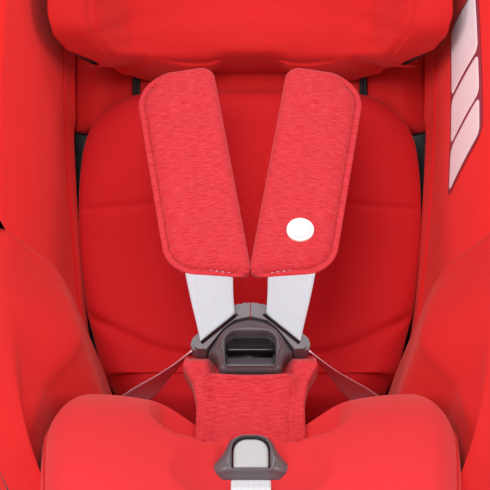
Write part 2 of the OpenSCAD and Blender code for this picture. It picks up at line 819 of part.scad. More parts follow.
// Half of the chevron that both tongues form above the housing, with the slot for the webbing.
TONGUE_INNER = [[0.3, 32.6], [13.4, 29], [21.4, 21.4], [34.8, 2.4], [42, 2.8]];
TONGUE_OUTER = [[46, 4.5], [47.3, 9], [45.8, 14.5], [42.5, 18], [16, 44], [9, 46.5], [0.3, 45.4]];
TONGUE_BACK = [[44, 5], [10, 38.2], [6, 45], [0.3, 45]];
SLOT_LOW = [40.5, 9.5];
SLOT_HIGH = [12, 36.5];
module tongue(side) {
  run = SLOT_HIGH - SLOT_LOW;
  tilt = atan2(run[1], run[0]);
  color(warm_grey) on_buckle() on_side(side) {
    difference() {
      union() {
        outline_plate(concat(TONGUE_INNER, TONGUE_OUTER), -6, 4);
        outline_plate(concat(TONGUE_INNER, TONGUE_BACK), -10, -6);
      }
      translate([SLOT_LOW[0], 0, SLOT_LOW[1]]) rotate([0, -tilt, 0]) translate([0, -11, -0.5])
        cube([norm(run), 20, 4.5]);
    }
    translate([2.5, -1.4, blade_z]) cube([14, 3, blade_h]);
  }
}

// ---------- harness adjuster ----------

// Frame of the adjuster on the front slope of the cushion: z up the slope, -y out of it.
adjuster_at = [0, -229.5, 253.5];
adjuster_lean = -50;
module on_adjuster() {
  translate(adjuster_at) rotate([adjuster_lean, 0, 0]) children();
}

module adjuster_pocket(grow) {
  on_adjuster() translate([-21 - grow, -9, -19 - grow]) cube([42 + 2 * grow, 70, 36 + 2 * grow]);
}

BEZEL_HALF = [[20, -20], [31, -13], [29, -8.5], [22, -3], [19, 7], [16.5, 14.5], [10, 19]];
BEZEL = concat(BEZEL_HALF, [for (i = [len(BEZEL_HALF) - 1:-1:0]) [-BEZEL_HALF[i][0], BEZEL_HALF[i][1]]]);
lever_w = 27.6;
lever_low = -13.6;
lever_high = 11.6;
lever_pivot = [-11, -11.5];
module adjuster_bezel() {
  color(warm_grey) on_adjuster() difference() {
    outline_plate(BEZEL, -18, -9.5);
    translate([-lever_w / 2 - 0.4, -20, lever_low - 0.6])
      cube([lever_w + 0.8, 40, lever_high - lever_low + 2.2]);
  }
}

module adjuster_frame() {
  color(steel) on_adjuster() difference() {
    translate([-19, -8.5, -17]) cube([38, 24, 32]);
    translate([-16, -10, -14]) cube([32, 23, 26]);
    translate([-17, 10, -4]) cube([34, 10, 8]);
  }
}

// The lever turns on a pin across its lower end, and its nose reaches into the frame.
module adjuster_button() {
  color(silver) on_adjuster() {
    plate(lever_w, lever_low, lever_high, -16.5, -11, 7);
    bar_x(-lever_w / 2, lever_w / 2, lever_pivot[0], lever_pivot[1], 1.4);
    translate([-8, -11, -8]) cube([16, 16, 16]);
  }
}

// The free tail over the front of the cushion, and the run under the shell to the yoke.
tail_w = 30;
tail_lip = [-300, 214];
module adjuster_strap() {
  below = [for (u = steps(2.6, 7.8, 14)) let (p = seat_point(u, 0, -shell_wall - 20)) [p[1], p[2]]];
  color(web_grey) {
    webbing([[-259, 254], tail_lip, tail_lip - [0, 70]], 0, tail_w);
    webbing(below, 0, tail_w);
  }
}

// ---------- lower harness and tether at the back ----------

module harness_yoke() {
  color(steel) on_back() difference() {
    translate([-88, shell_wall + 19, -16]) cube([176, 3, 28]);
    for (s = [-1, 1]) translate([s * stem_x - 20, shell_wall + 18, -2]) cube([40, 6, 5]);
    translate([-17, shell_wall + 18, -12]) cube([34, 6, 5]);
  }
}

// The top tether, stowed against the rear cover: strap, snap hook and the gate across the hook's mouth.
tether_y = shell_wall + cavity + 4;
hook_low = 34;
gate_x = 14.3;
gate_pivot_z = hook_low + 43;
module tether_strap() {
  color(charcoal) on_back() translate([-12, tether_y + 2, hook_low + 57]) cube([24, webbing_t, 130]);
}

module tether_hook() {
  color(steel) on_back() difference() {
    plate(38, hook_low, hook_low + 66, tether_y, tether_y + 3, 12);
    translate([-12.5, tether_y + 1.6, hook_low + 56]) cube([25, 4, 14]);
    plate(22, hook_low + 12, hook_low + 40, tether_y - 1, tether_y + 4, 9);
    translate([0, tether_y - 1, hook_low + 18]) cube([30, 5, 16]);
    translate([gate_x, tether_y - 1, gate_pivot_z]) rotate([-90, 0, 0]) cylinder(r = 1.6, h = 5);
  }
}

module tether_gate() {
  color(silver) on_back() {
    translate([gate_x - 2, tether_y + 3.2, hook_low + 12]) cube([4, 2, 34]);
    translate([gate_x, tether_y + 0.2, gate_pivot_z]) rotate([-90, 0, 0]) cylinder(r = 1.5, h = 4);
  }
}

// ---------- nodes ----------

base_tray();
base_cover();
base_feet();
base_screws();
recline_rails();
recline_rack();
arm_guides();
arm_button("left");  // arm_button_left
arm_button("right");  // arm_button_right
arm_bars();
connector("left");  // connector_left
connector("right");  // connector_right
jaw_pins();
jaw("left");  // jaw_left
jaw("right");  // jaw_right
connector_button("left");  // connector_button_left
connector_button("right");  // connector_button_right
seat_shell();
rear_cover();
recline_sled();
slide_blocks();
recline_handle();
recline_lock_bar();
seat_pad();
back_pad();
wing_pads();
hip_bolsters();
infant_insert();
instruction_label();
guide_rods();
height_rack();
headrest_carriage();
headrest_shell();
headrest_pad();
headrest_lever();
headrest_bolt();
harness_yoke();
shoulder_pad("left");  // shoulder_pad_left
shoulder_pad("right");  // shoulder_pad_right
pad_badge();
shoulder_strap("left");  // shoulder_strap_left
shoulder_strap("right");  // shoulder_strap_right
strap_risers();
lap_strap("left");  // lap_strap_left
lap_strap("right");  // lap_strap_right
crotch_strap();
strap_anchors();
crotch_pad();
buckle_housing();
buckle_button();
buckle_spring();
tongue("left");  // tongue_left
tongue("right");  // tongue_right
adjuster_bezel();
adjuster_frame();
adjuster_button();
adjuster_strap();
tether_strap();
tether_hook();
tether_gate();
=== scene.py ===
import json
import math

import bpy
import numpy as np
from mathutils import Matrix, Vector


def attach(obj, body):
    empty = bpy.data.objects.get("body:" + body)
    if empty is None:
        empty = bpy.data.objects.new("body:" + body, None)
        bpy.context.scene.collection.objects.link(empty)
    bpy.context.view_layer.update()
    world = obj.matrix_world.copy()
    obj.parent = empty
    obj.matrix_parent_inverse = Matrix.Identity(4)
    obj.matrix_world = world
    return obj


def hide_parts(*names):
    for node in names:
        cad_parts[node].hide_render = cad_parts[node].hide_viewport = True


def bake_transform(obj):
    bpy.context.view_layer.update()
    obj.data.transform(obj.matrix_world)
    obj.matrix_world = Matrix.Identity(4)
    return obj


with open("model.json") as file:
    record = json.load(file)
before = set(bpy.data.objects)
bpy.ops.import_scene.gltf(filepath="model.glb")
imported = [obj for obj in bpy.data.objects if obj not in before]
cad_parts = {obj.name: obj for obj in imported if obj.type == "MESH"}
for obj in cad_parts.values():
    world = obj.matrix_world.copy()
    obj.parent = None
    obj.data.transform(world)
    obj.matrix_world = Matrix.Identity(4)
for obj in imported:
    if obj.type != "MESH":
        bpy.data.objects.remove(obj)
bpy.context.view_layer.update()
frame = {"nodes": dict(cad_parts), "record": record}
nodes = frame["nodes"]
scene = bpy.context.scene
MM = 0.001

# ---------------------------------------------------------------- curves and lofted surfaces, in millimetres

# Rows of the bucket: floor y, floor z, rim y, rim z, floor half-width, rim half-width.
BUCKET = [
    [-238, 166, -240, 176, 112, 122],
    [-250, 190, -254, 216, 132, 158],
    [-214, 216, -228, 264, 144, 184],
    [-130, 196, -172, 308, 144, 200],
    [-30, 166, -108, 348, 142, 208],
    [66, 146, -58, 380, 138, 212],
    [130, 182, -34, 410, 138, 214],
    [155, 240, -8, 452, 148, 215],
    [195, 345, 34, 514, 158, 215],
    [235, 450, 98, 585, 162, 212],
    [271, 545, 182, 635, 158, 201],
    [298, 612, 280, 652, 144, 176],
]
# Rows of the headrest, in the same order.
HEAD = [
    [213, 465, 154, 477, 92, 138],
    [218, 476, 120, 501, 118, 158],
    [233, 512, 102, 526, 124, 168],
    [250, 556, 118, 576, 122, 168],
    [267, 600, 154, 622, 112, 158],
    [279, 631, 210, 653, 88, 124],
    [285, 645, 252, 662, 64, 90],
]
# Where the floor ends and the wall starts, as shares of the way from the middle to the rim.
FLOOR_END, WALL_START = 0.46, 0.62
SIDES = (("left", -1), ("right", 1))


def smooth(a, b, x):
    t = np.clip((np.asarray(x, float) - a) / (b - a), 0, 1)
    return t * t * (3 - 2 * t)


def bell(x, centre, width):
    return np.exp(-(((x - centre) / width) ** 2))


def dome(d, radius):
    """Rises from 0 to 1 over radius like a quarter of a circle."""
    return np.sqrt(np.clip(1 - (1 - np.clip(d / radius, 0, 1)) ** 2, 0, 1))


def unit(v):
    return v / np.maximum(np.linalg.norm(v, axis=-1, keepdims=True), 1e-9)


def station(table, u):
    """The row of a table at u, on a smooth curve through its rows."""
    rows = np.asarray(table, float)
    n = len(rows)
    u = np.asarray(u, float)
    i = np.clip(np.floor(u).astype(int), 0, n - 2)
    t = (u - i)[..., None]
    a, b, c, d = rows[np.maximum(i - 1, 0)], rows[i], rows[i + 1], rows[np.minimum(i + 2, n - 1)]
    return 0.5 * (2 * b + (c - a) * t + (2 * a - 5 * b + 4 * c - d) * t**2 + (3 * b - a - 3 * c + d) * t**3)


def loft(table, corner, u, t, n, share=1.0):
    """The point at u along a lofted bucket and t across it, raised by n above its surface."""
    u, t, n = np.broadcast_arrays(np.asarray(u, float), np.asarray(t, float), np.asarray(n, float))
    s = station(table, u)
    top = len(table) - 1
    ahead, behind = station(table, np.minimum(u + 0.02, top)), station(table, np.maximum(u - 0.02, 0))
    along = unit(ahead[..., :2] - behind[..., :2])
    inward = np.stack([-along[..., 1], along[..., 0]], -1)
    rim = s[..., 2:4] - s[..., 0:2]
    depth = np.linalg.norm(rim, axis=-1)
    floor_w, edge_w = s[..., 4] - share * n, s[..., 5] - share * n
    wall = unit(np.stack([edge_w - floor_w, depth], -1))
    bend = np.stack([floor_w, 0 * floor_w], -1) + wall * corner
    a = np.abs(t)[..., None]
    c = (a - FLOOR_END) / (WALL_START - FLOOR_END)
    x_axis, floor_w1 = np.array([1.0, 0.0]), floor_w[..., None]
    flat = (floor_w1 - corner) * x_axis * a / FLOOR_END
    curve = (floor_w1 - corner) * x_axis * (1 - c) ** 2 + floor_w1 * x_axis * 2 * c * (1 - c) + bend * c * c
    edge = np.stack([edge_w, depth], -1)
    side = bend + (edge - bend) * (a - WALL_START) / (1 - WALL_START)
    q = np.where(a <= FLOOR_END, flat, np.where(a < WALL_START, curve, side))
    rise = (q[..., 1] / depth)[..., None]
    yz = s[..., 0:2] + inward * n[..., None] * (1 - rise) + rim * rise
    return np.stack([np.sign(t) * q[..., 0], yz[..., 0], yz[..., 1]], -1)


def seat(u, t, n, share=1.0):
    return loft(BUCKET, 26, u, t, n, share)


def head(u, t, n):
    return loft(HEAD, 30, u, t, n)


# The parts' own frames: where each starts (y, z) and how far its z leans back.
BACK, BACK_AT = math.atan2(40, 105), (195, 345)
HARNESS, HARNESS_AT = math.radians(48), (-130, 238)
FRONT, FRONT_AT = math.radians(50), (-229.5, 253.5)
SHOULDER = math.asin(32 / 204)
BUCKLE_Z = 73
# The camera looks down by this angle, and the lap straps are turned towards it.
ELEVATION = math.radians(15)


def tilted(p, origin, angle):
    """From a frame whose z leans back by angle: x across, y into the seat, z along."""
    x, y, z = p[..., 0], p[..., 1], p[..., 2]
    s, c = math.sin(angle), math.cos(angle)
    return np.stack([x, origin[0] + c * y + s * z, origin[1] - s * y + c * z], -1)


def on_back(p):
    return tilted(np.asarray(p, float), BACK_AT, BACK)


def on_harness(p):
    return tilted(np.asarray(p, float), HARNESS_AT, HARNESS)


def on_buckle(p):
    return on_harness(np.asarray(p, float) + [0, 0, BUCKLE_Z])


def on_adjuster(p):
    return tilted(np.asarray(p, float), FRONT_AT, FRONT)


def on_shoulder(side):
    def place(p):
        p = np.asarray(p, float)
        s, c = math.sin(SHOULDER) * side, math.cos(SHOULDER)
        x = side * 33 + c * p[..., 0] + s * p[..., 2]
        z = 147 - s * p[..., 0] + c * p[..., 2]
        return on_harness(np.stack([x, p[..., 1] - 7, z], -1))

    return place


# ---------------------------------------------------------------- meshes


def grid_faces(rows, cols, first=0, wrap=False, flip=False, keep=None):
    out = []
    for i in range(rows - 1):
        for j in range(cols if wrap else cols - 1):
            if keep is not None and not keep[i, j]:
                continue
            k = (j + 1) % cols
            here, above = first + i * cols, first + (i + 1) * cols
            f = (here + j, here + k, above + k, above + j)
            out.append(f[::-1] if flip else f)
    return out


def two_sided(rows, cols, keep=None):
    """Faces of a grid, of a second grid behind it, and of the edge between the two."""
    count = rows * cols
    faces = grid_faces(rows, cols, keep=keep) + grid_faces(rows, cols, count, flip=True, keep=keep)
    loop = [j for j in range(cols - 1)] + [i * cols + cols - 1 for i in range(rows - 1)]
    loop += [(rows - 1) * cols + j for j in range(cols - 1, 0, -1)]
    loop += [i * cols for i in range(rows - 1, 0, -1)]
    return faces + [(b, a, a + count, b + count) for a, b in zip(loop, loop[1:] + loop[:1])]


def make(name, points, faces, material, body, uv=None, slot=None, replaces=None):
    """A smooth mesh object that rides a body, and stands for a CAD node where replaces names one."""
    mesh = bpy.data.meshes.new(name)
    mesh.from_pydata((np.asarray(points, float).reshape(-1, 3) * MM).tolist(), [], faces)
    if uv is not None:
        layer = mesh.uv_layers.new(name="UVMap")
        index = np.zeros(len(mesh.loops), np.int64)
        mesh.loops.foreach_get("vertex_index", index)
        metres = np.asarray(uv, float).reshape(-1, 2)[index] * MM
        layer.data.foreach_set("uv", metres.astype(np.float32).ravel())
    mesh.validate()
    ob = bpy.data.objects.new(name, mesh)
    scene.collection.objects.link(ob)
    mesh.materials.append(material)
    mesh.shade_smooth()
    if body:
        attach(ob, body)
    if replaces:
        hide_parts(replaces)
    return ob


def arc_uv(p):
    """Texture coordinates of a grid from its own lengths along rows and columns."""
    along = np.concatenate([[0], np.cumsum(np.linalg.norm(np.diff(p.mean(1), axis=0), axis=-1))])
    step = np.linalg.norm(np.diff(p, axis=1), axis=-1)
    across = np.concatenate([np.zeros((len(p), 1)), np.cumsum(step, 1)], 1)
    across -= across[:, across.shape[1] // 2][:, None]
    return np.stack([across, np.broadcast_to(along[:, None], across.shape)], -1)


def sheet(name, p, material, body, under=None, **more):
    """A grid of points as a surface, closed by a second grid below it if that is given."""
    rows, cols = p.shape[:2]
    uv = arc_uv(p)
    if under is None:
        return make(name, p, grid_faces(rows, cols), material, body, uv, **more)
    both = np.concatenate([p.reshape(-1, 3), under.reshape(-1, 3)])
    both_uv = np.concatenate([uv.reshape(-1, 2)] * 2)
    return make(name, both, two_sided(rows, cols), material, body, both_uv, **more)


def cord(name, points, radius, material, body, sides=8, **more):
    """A round cord along a line of points."""
    p = np.asarray(points, float)
    ahead = np.roll(p, -1, 0) - np.roll(p, 1, 0)
    ahead[0], ahead[-1] = p[1] - p[0], p[-1] - p[-2]
    ahead = unit(ahead)
    side = unit(np.cross(ahead, [0.31, -0.72, 0.62]))
    over = np.cross(side, ahead)
    a = np.linspace(0, 2 * math.pi, sides, endpoint=False)[None, :, None]
    ring = p[:, None] + radius * (np.cos(a) * side[:, None] + np.sin(a) * over[:, None])
    faces = grid_faces(len(p), sides, wrap=True)
    faces += [tuple(range(sides))[::-1], tuple((len(p) - 1) * sides + j for j in range(sides))]
    return make(name, ring, faces, material, body, **more)


def resample(points, spacing, closed=False):
    p = np.asarray(points, float)
    if closed:
        p = np.concatenate([p, p[:1]])
    s = np.concatenate([[0], np.cumsum(np.linalg.norm(np.diff(p, axis=0), axis=-1))])
    n = max(3, int(round(s[-1] / spacing)))
    q = np.linspace(0, s[-1], n + (0 if closed else 1), endpoint=not closed)
    return np.stack([np.interp(q, s, p[:, k]) for k in range(p.shape[1])], -1)


def spline(points, count=200):
    """A smooth open curve through a few points."""
    return station(points, np.linspace(0, len(points) - 1, count))


def rounded(corners, radii, spacing=1.5):
    """A closed outline with rounded corners, evenly spaced."""
    p = np.asarray(corners, float)
    out = []
    for i in range(len(p)):
        a, b, c = p[i - 1], p[i], p[(i + 1) % len(p)]
        u, v = unit(a - b), unit(c - b)
        half = math.acos(np.clip(u @ v, -1, 1)) / 2
        reach = min(radii[i] / math.tan(half), 0.49 * np.linalg.norm(a - b), 0.49 * np.linalg.norm(c - b))
        start, end = b + u * reach, b + v * reach
        for k in np.linspace(0, 1, 10):
            corner = b * 0.72 + (start + end) * 0.14
            out.append((1 - k) ** 2 * start + 2 * k * (1 - k) * corner + k * k * end)
    return resample(out, spacing, closed=True)


def rings(outline, heart, insets):
    """Rings of plan points: at each inset from the outline, then in to each point's heart point."""
    reach = np.linalg.norm(heart - outline, axis=-1)
    toward = unit(heart - outline)
    rows = []
    for d in insets:
        rows.append(outline + toward * np.minimum(d, reach * 0.96)[:, None])
    for k in (0.35, 0.7, 1.0):
        last = np.minimum(insets[-1], reach * 0.96)[:, None]
        rows.append(outline + toward * (last + (reach[:, None] - last) * k))
    dist = [np.minimum(d, reach * 0.96) for d in insets] + [np.full(len(outline), 99.0)] * 3
    return np.array(rows), np.array(dist)


def heart_line(outline, a, b):
    """For each outline point, the nearest point of the segment from a to b."""
    a, b = np.asarray(a, float), np.asarray(b, float)
    k = np.clip(((outline - a) @ (b - a)) / max((b - a) @ (b - a), 1e-9), 0, 1)
    return a + k[:, None] * (b - a)


def pad(name, outline, heart, insets, height, place, material, body, under=None, **more):
    """A soft form on an outline. height(plan, inset) is its top, and under(plan, inset) its bottom."""
    plan, dist = rings(outline, heart, insets)
    top = height(plan, dist)
    n = len(outline)
    upper = place(np.stack([plan[..., 0], -top, plan[..., 1]], -1))
    faces = grid_faces(len(plan), n, wrap=True, flip=True)
    uv = plan
    points = upper.reshape(-1, 3)
    if under is not None:
        low = under(plan, dist)
        lower = place(np.stack([plan[..., 0], -low, plan[..., 1]], -1))
        count = len(points)
        faces += grid_faces(len(plan), n, count, wrap=True)
        faces += [(j, (j + 1) % n, count + (j + 1) % n, count + j) for j in range(n)]
        points = np.concatenate([points, lower.reshape(-1, 3)])
        uv = np.concatenate([plan.reshape(-1, 2)] * 2)
    return make(name, points, faces, material, body, uv, **more)


def stitches(name, line, lift, material, body, length=3.2, gap=1.6, radius=0.42, **more):
    """Separate thread stitches along a line of points; lift is each point's direction out of the cloth."""
    p = resample(np.concatenate([line, lift], 1), (length + gap) / 8)
    q, up = p[:, :3], unit(p[:, 3:])
    points, faces = [], []
    per = 8
    arch = np.array([-0.35, 0.25, 0.5, 0.25, -0.35])
    used = int(round(per * length / (length + gap)))
    for start in range(0, len(q) - used - 1, per):
        at = np.linspace(start, start + used, 5).astype(int)
        mid = q[at] + up[at] * arch[:, None]
        ahead = unit(q[at[-1]] - q[at[0]])
        side = unit(np.cross(ahead, up[at]))
        base = len(points)
        for k in range(5):
            for a in np.linspace(0, 2 * math.pi, 5, endpoint=False):
                points.append(mid[k] + radius * (math.cos(a) * side[k] + math.sin(a) * up[at[k]]))
        for k in range(4):
            for j in range(5):
                faces.append((base + k * 5 + j, base + k * 5 + (j + 1) % 5,
                              base + (k + 1) * 5 + (j + 1) % 5, base + (k + 1) * 5 + j))
    if not faces:
        return None
    return make(name, np.array(points), faces, material, body, **more)


# ---------------------------------------------------------------- materials


class Nodes:
    """A short way to write a node tree."""

    def __init__(self, name):
        self.mat = bpy.data.materials.new(name)
        self.mat.use_nodes = True
        self.tree = self.mat.node_tree
        self.bsdf = self.tree.nodes["Principled BSDF"]
        self.x = -300

    def add(self, kind, links=None, **values):
        n = self.tree.nodes.new(kind)
        n.location = (self.x, 0)
        self.x -= 180
        for k, v in values.items():
            setattr(n, k, v)
        for k, v in (links or {}).items():
            self.put(n.inputs[k], v)
        return n

    def put(self, socket, value):
        if isinstance(value, bpy.types.NodeSocket):
            self.tree.links.new(value, socket)
        else:
            socket.default_value = value

    def set(self, **values):
        for k, v in values.items():
            self.put(self.bsdf.inputs[k.replace("_", " ")], v)

    def coords(self, kind="Object", scale=(1, 1, 1), turn=0.0):
        c = self.add("ShaderNodeTexCoord")
        m = self.add("ShaderNodeMapping",
                     {"Vector": c.outputs[kind], "Scale": scale, "Rotation": (0, 0, turn)})
        return m.outputs["Vector"]

    def noise(self, vector, scale, detail=3, rough=0.55):
        n = self.add("ShaderNodeTexNoise",
                     {"Vector": vector, "Scale": scale, "Detail": detail, "Roughness": rough})
        return n.outputs["Fac"]

    def wave(self, vector, scale, distortion=0.0, axis="X", profile="SIN"):
        n = self.add("ShaderNodeTexWave", {"Vector": vector, "Scale": scale, "Distortion": distortion,
                                           "Detail": 2.0, "Detail Scale": 1.5},
                     wave_type="BANDS", bands_direction=axis, wave_profile=profile)
        return n.outputs["Fac"]

    def ramp(self, fac, stops):
        n = self.add("ShaderNodeValToRGB", {"Fac": fac})
        e = n.color_ramp.elements
        e[0].position, e[0].color = stops[0][0], (*stops[0][1], 1)
        e[1].position, e[1].color = stops[-1][0], (*stops[-1][1], 1)
        for pos, col in stops[1:-1]:
            e.new(pos).color = (*col, 1)
        return n.outputs["Color"]

    def mix(self, fac, a, b, blend="MIX"):
        n = self.add("ShaderNodeMix", data_type="RGBA", blend_type=blend)
        self.put(n.inputs[0], fac)
        for socket, v in ((n.inputs[6], a), (n.inputs[7], b)):
            self.put(socket, v if isinstance(v, bpy.types.NodeSocket) else (*v, 1))
        return n.outputs[2]

    def edges(self):
        """White on edges that stand out, black elsewhere."""
        geo = self.add("ShaderNodeNewGeometry")
        return self.ramp(geo.outputs["Pointiness"], [(0.51, (0, 0, 0)), (0.60, (1, 1, 1))])

    def math(self, op, a, b=0.0, c=0.0):
        n = self.add("ShaderNodeMath", operation=op)
        for s, v in zip(n.inputs, (a, b, c)):
            self.put(s, v)
        return n.outputs[0]

    def bump(self, height, distance, strength=1.0, normal=None):
        links = {"Height": height, "Distance": distance, "Strength": strength}
        if normal is not None:
            links["Normal"] = normal
        return self.add("ShaderNodeBump", links).outputs["Normal"]


def linear(v):
    return v / 12.92 if v <= 0.04045 else ((v + 0.055) / 1.055) ** 2.4


def rgb(r, g, b):
    """Linear colour from a display colour given out of 255."""
    return tuple(linear(v / 255) for v in (r, g, b))


def times(color, k):
    return tuple(min(1.0, c * k) for c in color)


def jersey(name, color):
    """Smooth knitted cloth: fine courses, faint mottling and a soft sheen."""
    m = Nodes(name)
    v = m.coords()
    broad = m.noise(v, 9, 2)
    fine = m.noise(v, 420, 3, 0.65)
    stretched = m.noise(m.coords(scale=(120, 120, 1400)), 1.0, 2, 0.6)
    base = m.mix(broad, times(color, 0.93), times(color, 1.07))
    base = m.mix(m.math("MULTIPLY", stretched, 0.35), base, times(color, 0.72))
    base = m.mix(m.math("MULTIPLY", fine, 0.30), base, times(color, 1.25))
    courses = m.wave(m.coords(), 210, 1.2, "Z")
    normal = m.bump(fine, 0.00022, 0.8)
    normal = m.bump(courses, 0.00010, 0.35, normal)
    normal = m.bump(m.noise(v, 28, 3), 0.0012, 0.35, normal)
    m.set(Base_Color=base, Roughness=0.82, Normal=normal, Sheen_Weight=0.12, Sheen_Roughness=0.45,
          Sheen_Tint=(1.0, 0.55, 0.5, 1), Specular_IOR_Level=0.18)
    return m.mat


def heather(name, color, light, dark):
    """Plain weave of mixed yarns: short light and dark flecks along the weft, and a visible thread grid."""
    m = Nodes(name)
    uv = m.coords("UV")
    weft = m.noise(m.coords("UV", (110, 1150, 1)), 1.0, 3, 0.7)
    warp = m.noise(m.coords("UV", (1050, 130, 1)), 1.0, 3, 0.7)
    broad = m.noise(uv, 30, 2)
    base = m.mix(m.ramp(weft, [(0.36, (0, 0, 0)), (0.66, (1, 1, 1))]), dark, light)
    other = m.mix(m.ramp(warp, [(0.4, (0, 0, 0)), (0.7, (1, 1, 1))]), dark, color)
    base = m.mix(0.42, base, other)
    base = m.mix(m.math("MULTIPLY", broad, 0.3), base, color)
    ribs = m.wave(uv, 330, 0.6, "Y")
    cross = m.wave(uv, 330, 0.6, "X")
    normal = m.bump(m.math("MULTIPLY", ribs, cross), 0.00035, 0.6)
    normal = m.bump(weft, 0.0004, 0.6, normal)
    m.set(Base_Color=base, Roughness=0.86, Normal=normal, Sheen_Weight=0.3, Sheen_Roughness=0.4,
          Sheen_Tint=(1.0, 0.6, 0.6, 1), Specular_IOR_Level=0.2)
    return m.mat


def webbing(name, color, shade, half, ribs=9):
    """Flat woven belt: lengthwise ribs, a twill fleck and denser selvedges. UV x runs across it."""
    m = Nodes(name)
    uv = m.coords("UV")
    sep = m.add("ShaderNodeSeparateXYZ", {"Vector": uv})
    rib = m.wave(uv, ribs / (half * 2 * MM * math.pi), 0.0, "X")
    twill = m.wave(m.coords("UV", (1, 1, 1), 0.9), 420, 0.3, "X")
    pick = m.wave(uv, 520, 0.4, "Y")
    edge = m.math("ABSOLUTE", sep.outputs["X"])
    edge = m.math("GREATER_THAN", edge, (half - 2.6) * MM)
    base = m.mix(m.math("MULTIPLY", rib, 0.16), color, shade)
    base = m.mix(m.math("MULTIPLY", twill, 0.22), base, times(shade, 0.82))
    base = m.mix(m.math("MULTIPLY", edge, 0.35), base, times(color, 1.1))
    normal = m.bump(rib, 0.0003, 0.35)
    normal = m.bump(m.math("MULTIPLY", twill, pick), 0.00035, 0.7, normal)
    m.set(Base_Color=base, Roughness=0.55, Normal=normal, Sheen_Weight=0.15)
    return m.mat


def plastic(name, color, rough=0.42, grain=900, depth=0.00006, worn=0.5, coat=0.0):
    """Moulded plastic: fine grain, uneven gloss, and edges rubbed a little lighter."""
    m = Nodes(name)
    v = m.coords("Object")
    g = m.noise(v, grain, 2, 0.6)
    smudge = m.noise(v, 14, 4, 0.6)
    edge = m.edges()
    base = m.mix(m.math("MULTIPLY", smudge, 0.4), color, times(color, 1.35))
    base = m.mix(m.math("MULTIPLY", edge, worn), base, tuple(c * 1.5 + 0.03 for c in color))
    r = m.math("ADD", m.math("MULTIPLY", smudge, 0.22), rough - 0.11)
    m.set(Base_Color=base, Roughness=r, Normal=m.bump(g, depth, 0.7), Coat_Weight=coat)
    return m.mat


def metal(name, color, rough=0.32):
    """Zinc-plated steel: brushed lines, faint stains and brighter worn edges."""
    m = Nodes(name)
    v = m.coords("Object")
    lines = m.noise(m.coords("Object", (25, 700, 700)), 1.0, 3, 0.6)
    stain = m.noise(v, 22, 4, 0.65)
    edge = m.edges()
    base = m.mix(m.math("MULTIPLY", stain, 0.5), color, times(color, 0.7))
    base = m.mix(m.math("MULTIPLY", edge, 0.6), base, times(color, 1.35))
    r = m.math("ADD", m.math("MULTIPLY", lines, 0.25), rough - 0.1)
    m.set(Base_Color=base, Roughness=r, Metallic=1.0, Normal=m.bump(lines, 0.00004, 0.5))
    return m.mat


def thread(name, color):
    """Sewing thread: fine light and dark fibres."""
    m = Nodes(name)
    v = m.coords("Object")
    base = m.mix(m.noise(v, 900, 2), times(color, 0.75), times(color, 1.2))
    m.set(Base_Color=base, Roughness=0.6, Normal=m.bump(m.noise(v, 1500, 2), 0.0001, 0.5))
    return m.mat


M_JERSEY = jersey("red_cloth", rgb(204, 32, 32))
# The wing cloth is a brighter copy of the red cloth: painted light on the wings.
M_WING_PAINTED_LIGHT = jersey("red_wing", rgb(240, 36, 36))
# The cushion cloth is a paler, brighter copy of the red cloth: painted top light and sheen.
M_SEAT_PAINTED_SHEEN = jersey("red_seat", rgb(212, 46, 50))
M_INLAY = jersey("red_inlay", rgb(206, 31, 37))
M_PIPING = jersey("red_piping", rgb(190, 28, 30))
M_HEATHER = heather("red_weave", rgb(216, 48, 57), rgb(236, 88, 94), rgb(188, 27, 40))
M_THREAD = thread("dark_red_thread", rgb(188, 34, 46))
M_WEB = webbing("webbing", rgb(206, 208, 215), rgb(178, 180, 189), 19, 12)
M_TAIL = webbing("webbing_tail", rgb(232, 232, 236), rgb(198, 198, 206), 15, 7)
# The lap webbing is white webbing coloured pink: painted red bounce light from the cloth around it.
M_LAP_PAINTED_BOUNCE = webbing("lap_webbing", rgb(255, 214, 228), rgb(226, 160, 180), 11, 7)
M_DARK_WEB = webbing("dark_webbing", rgb(52, 52, 56), rgb(24, 24, 27), 12, 6)
M_BUCKLE = plastic("buckle_plastic", rgb(84, 76, 80), 0.38, 1100, 0.00005, 0.35)
M_TONGUE = plastic("tongue_plastic", rgb(92, 83, 88), 0.36, 1100, 0.00005, 0.4)
M_BEZEL = plastic("bezel_plastic", rgb(88, 78, 82), 0.34, 1100, 0.00004, 0.3, 0.15)
M_BUTTON = plastic("button_black", rgb(30, 26, 28), 0.16, 600, 0.00001, 0.1, 0.5)
M_WINDOW = plastic("button_grey", rgb(66, 60, 64), 0.3, 700, 0.00002, 0.2, 0.2)
M_SILVER = plastic("button_silver", rgb(168, 164, 164), 0.34, 900, 0.00002, 0.1, 0.1)
M_SHELL = plastic("shell_plastic", rgb(44, 44, 47), 0.5, 700, 0.00012, 0.5)
M_TRAY = plastic("tray_plastic", rgb(38, 38, 41), 0.55, 600, 0.00014, 0.5)
M_RUBBER = plastic("rubber", rgb(24, 24, 25), 0.8, 500, 0.00012, 0.2)
M_RELEASE = plastic("release_red", rgb(190, 30, 32), 0.3, 900, 0.00003, 0.3, 0.2)
M_BADGE = plastic("badge", rgb(242, 238, 232), 0.4, 900, 0.00002, 0.1)
M_LABEL = plastic("label_film", rgb(150, 60, 74), 0.35, 700, 0.00001, 0.1)
M_PANEL = plastic("label_panel", rgb(250, 224, 230), 0.3, 500, 0.00001, 0.1)
M_STEEL = metal("steel", rgb(190, 192, 196))

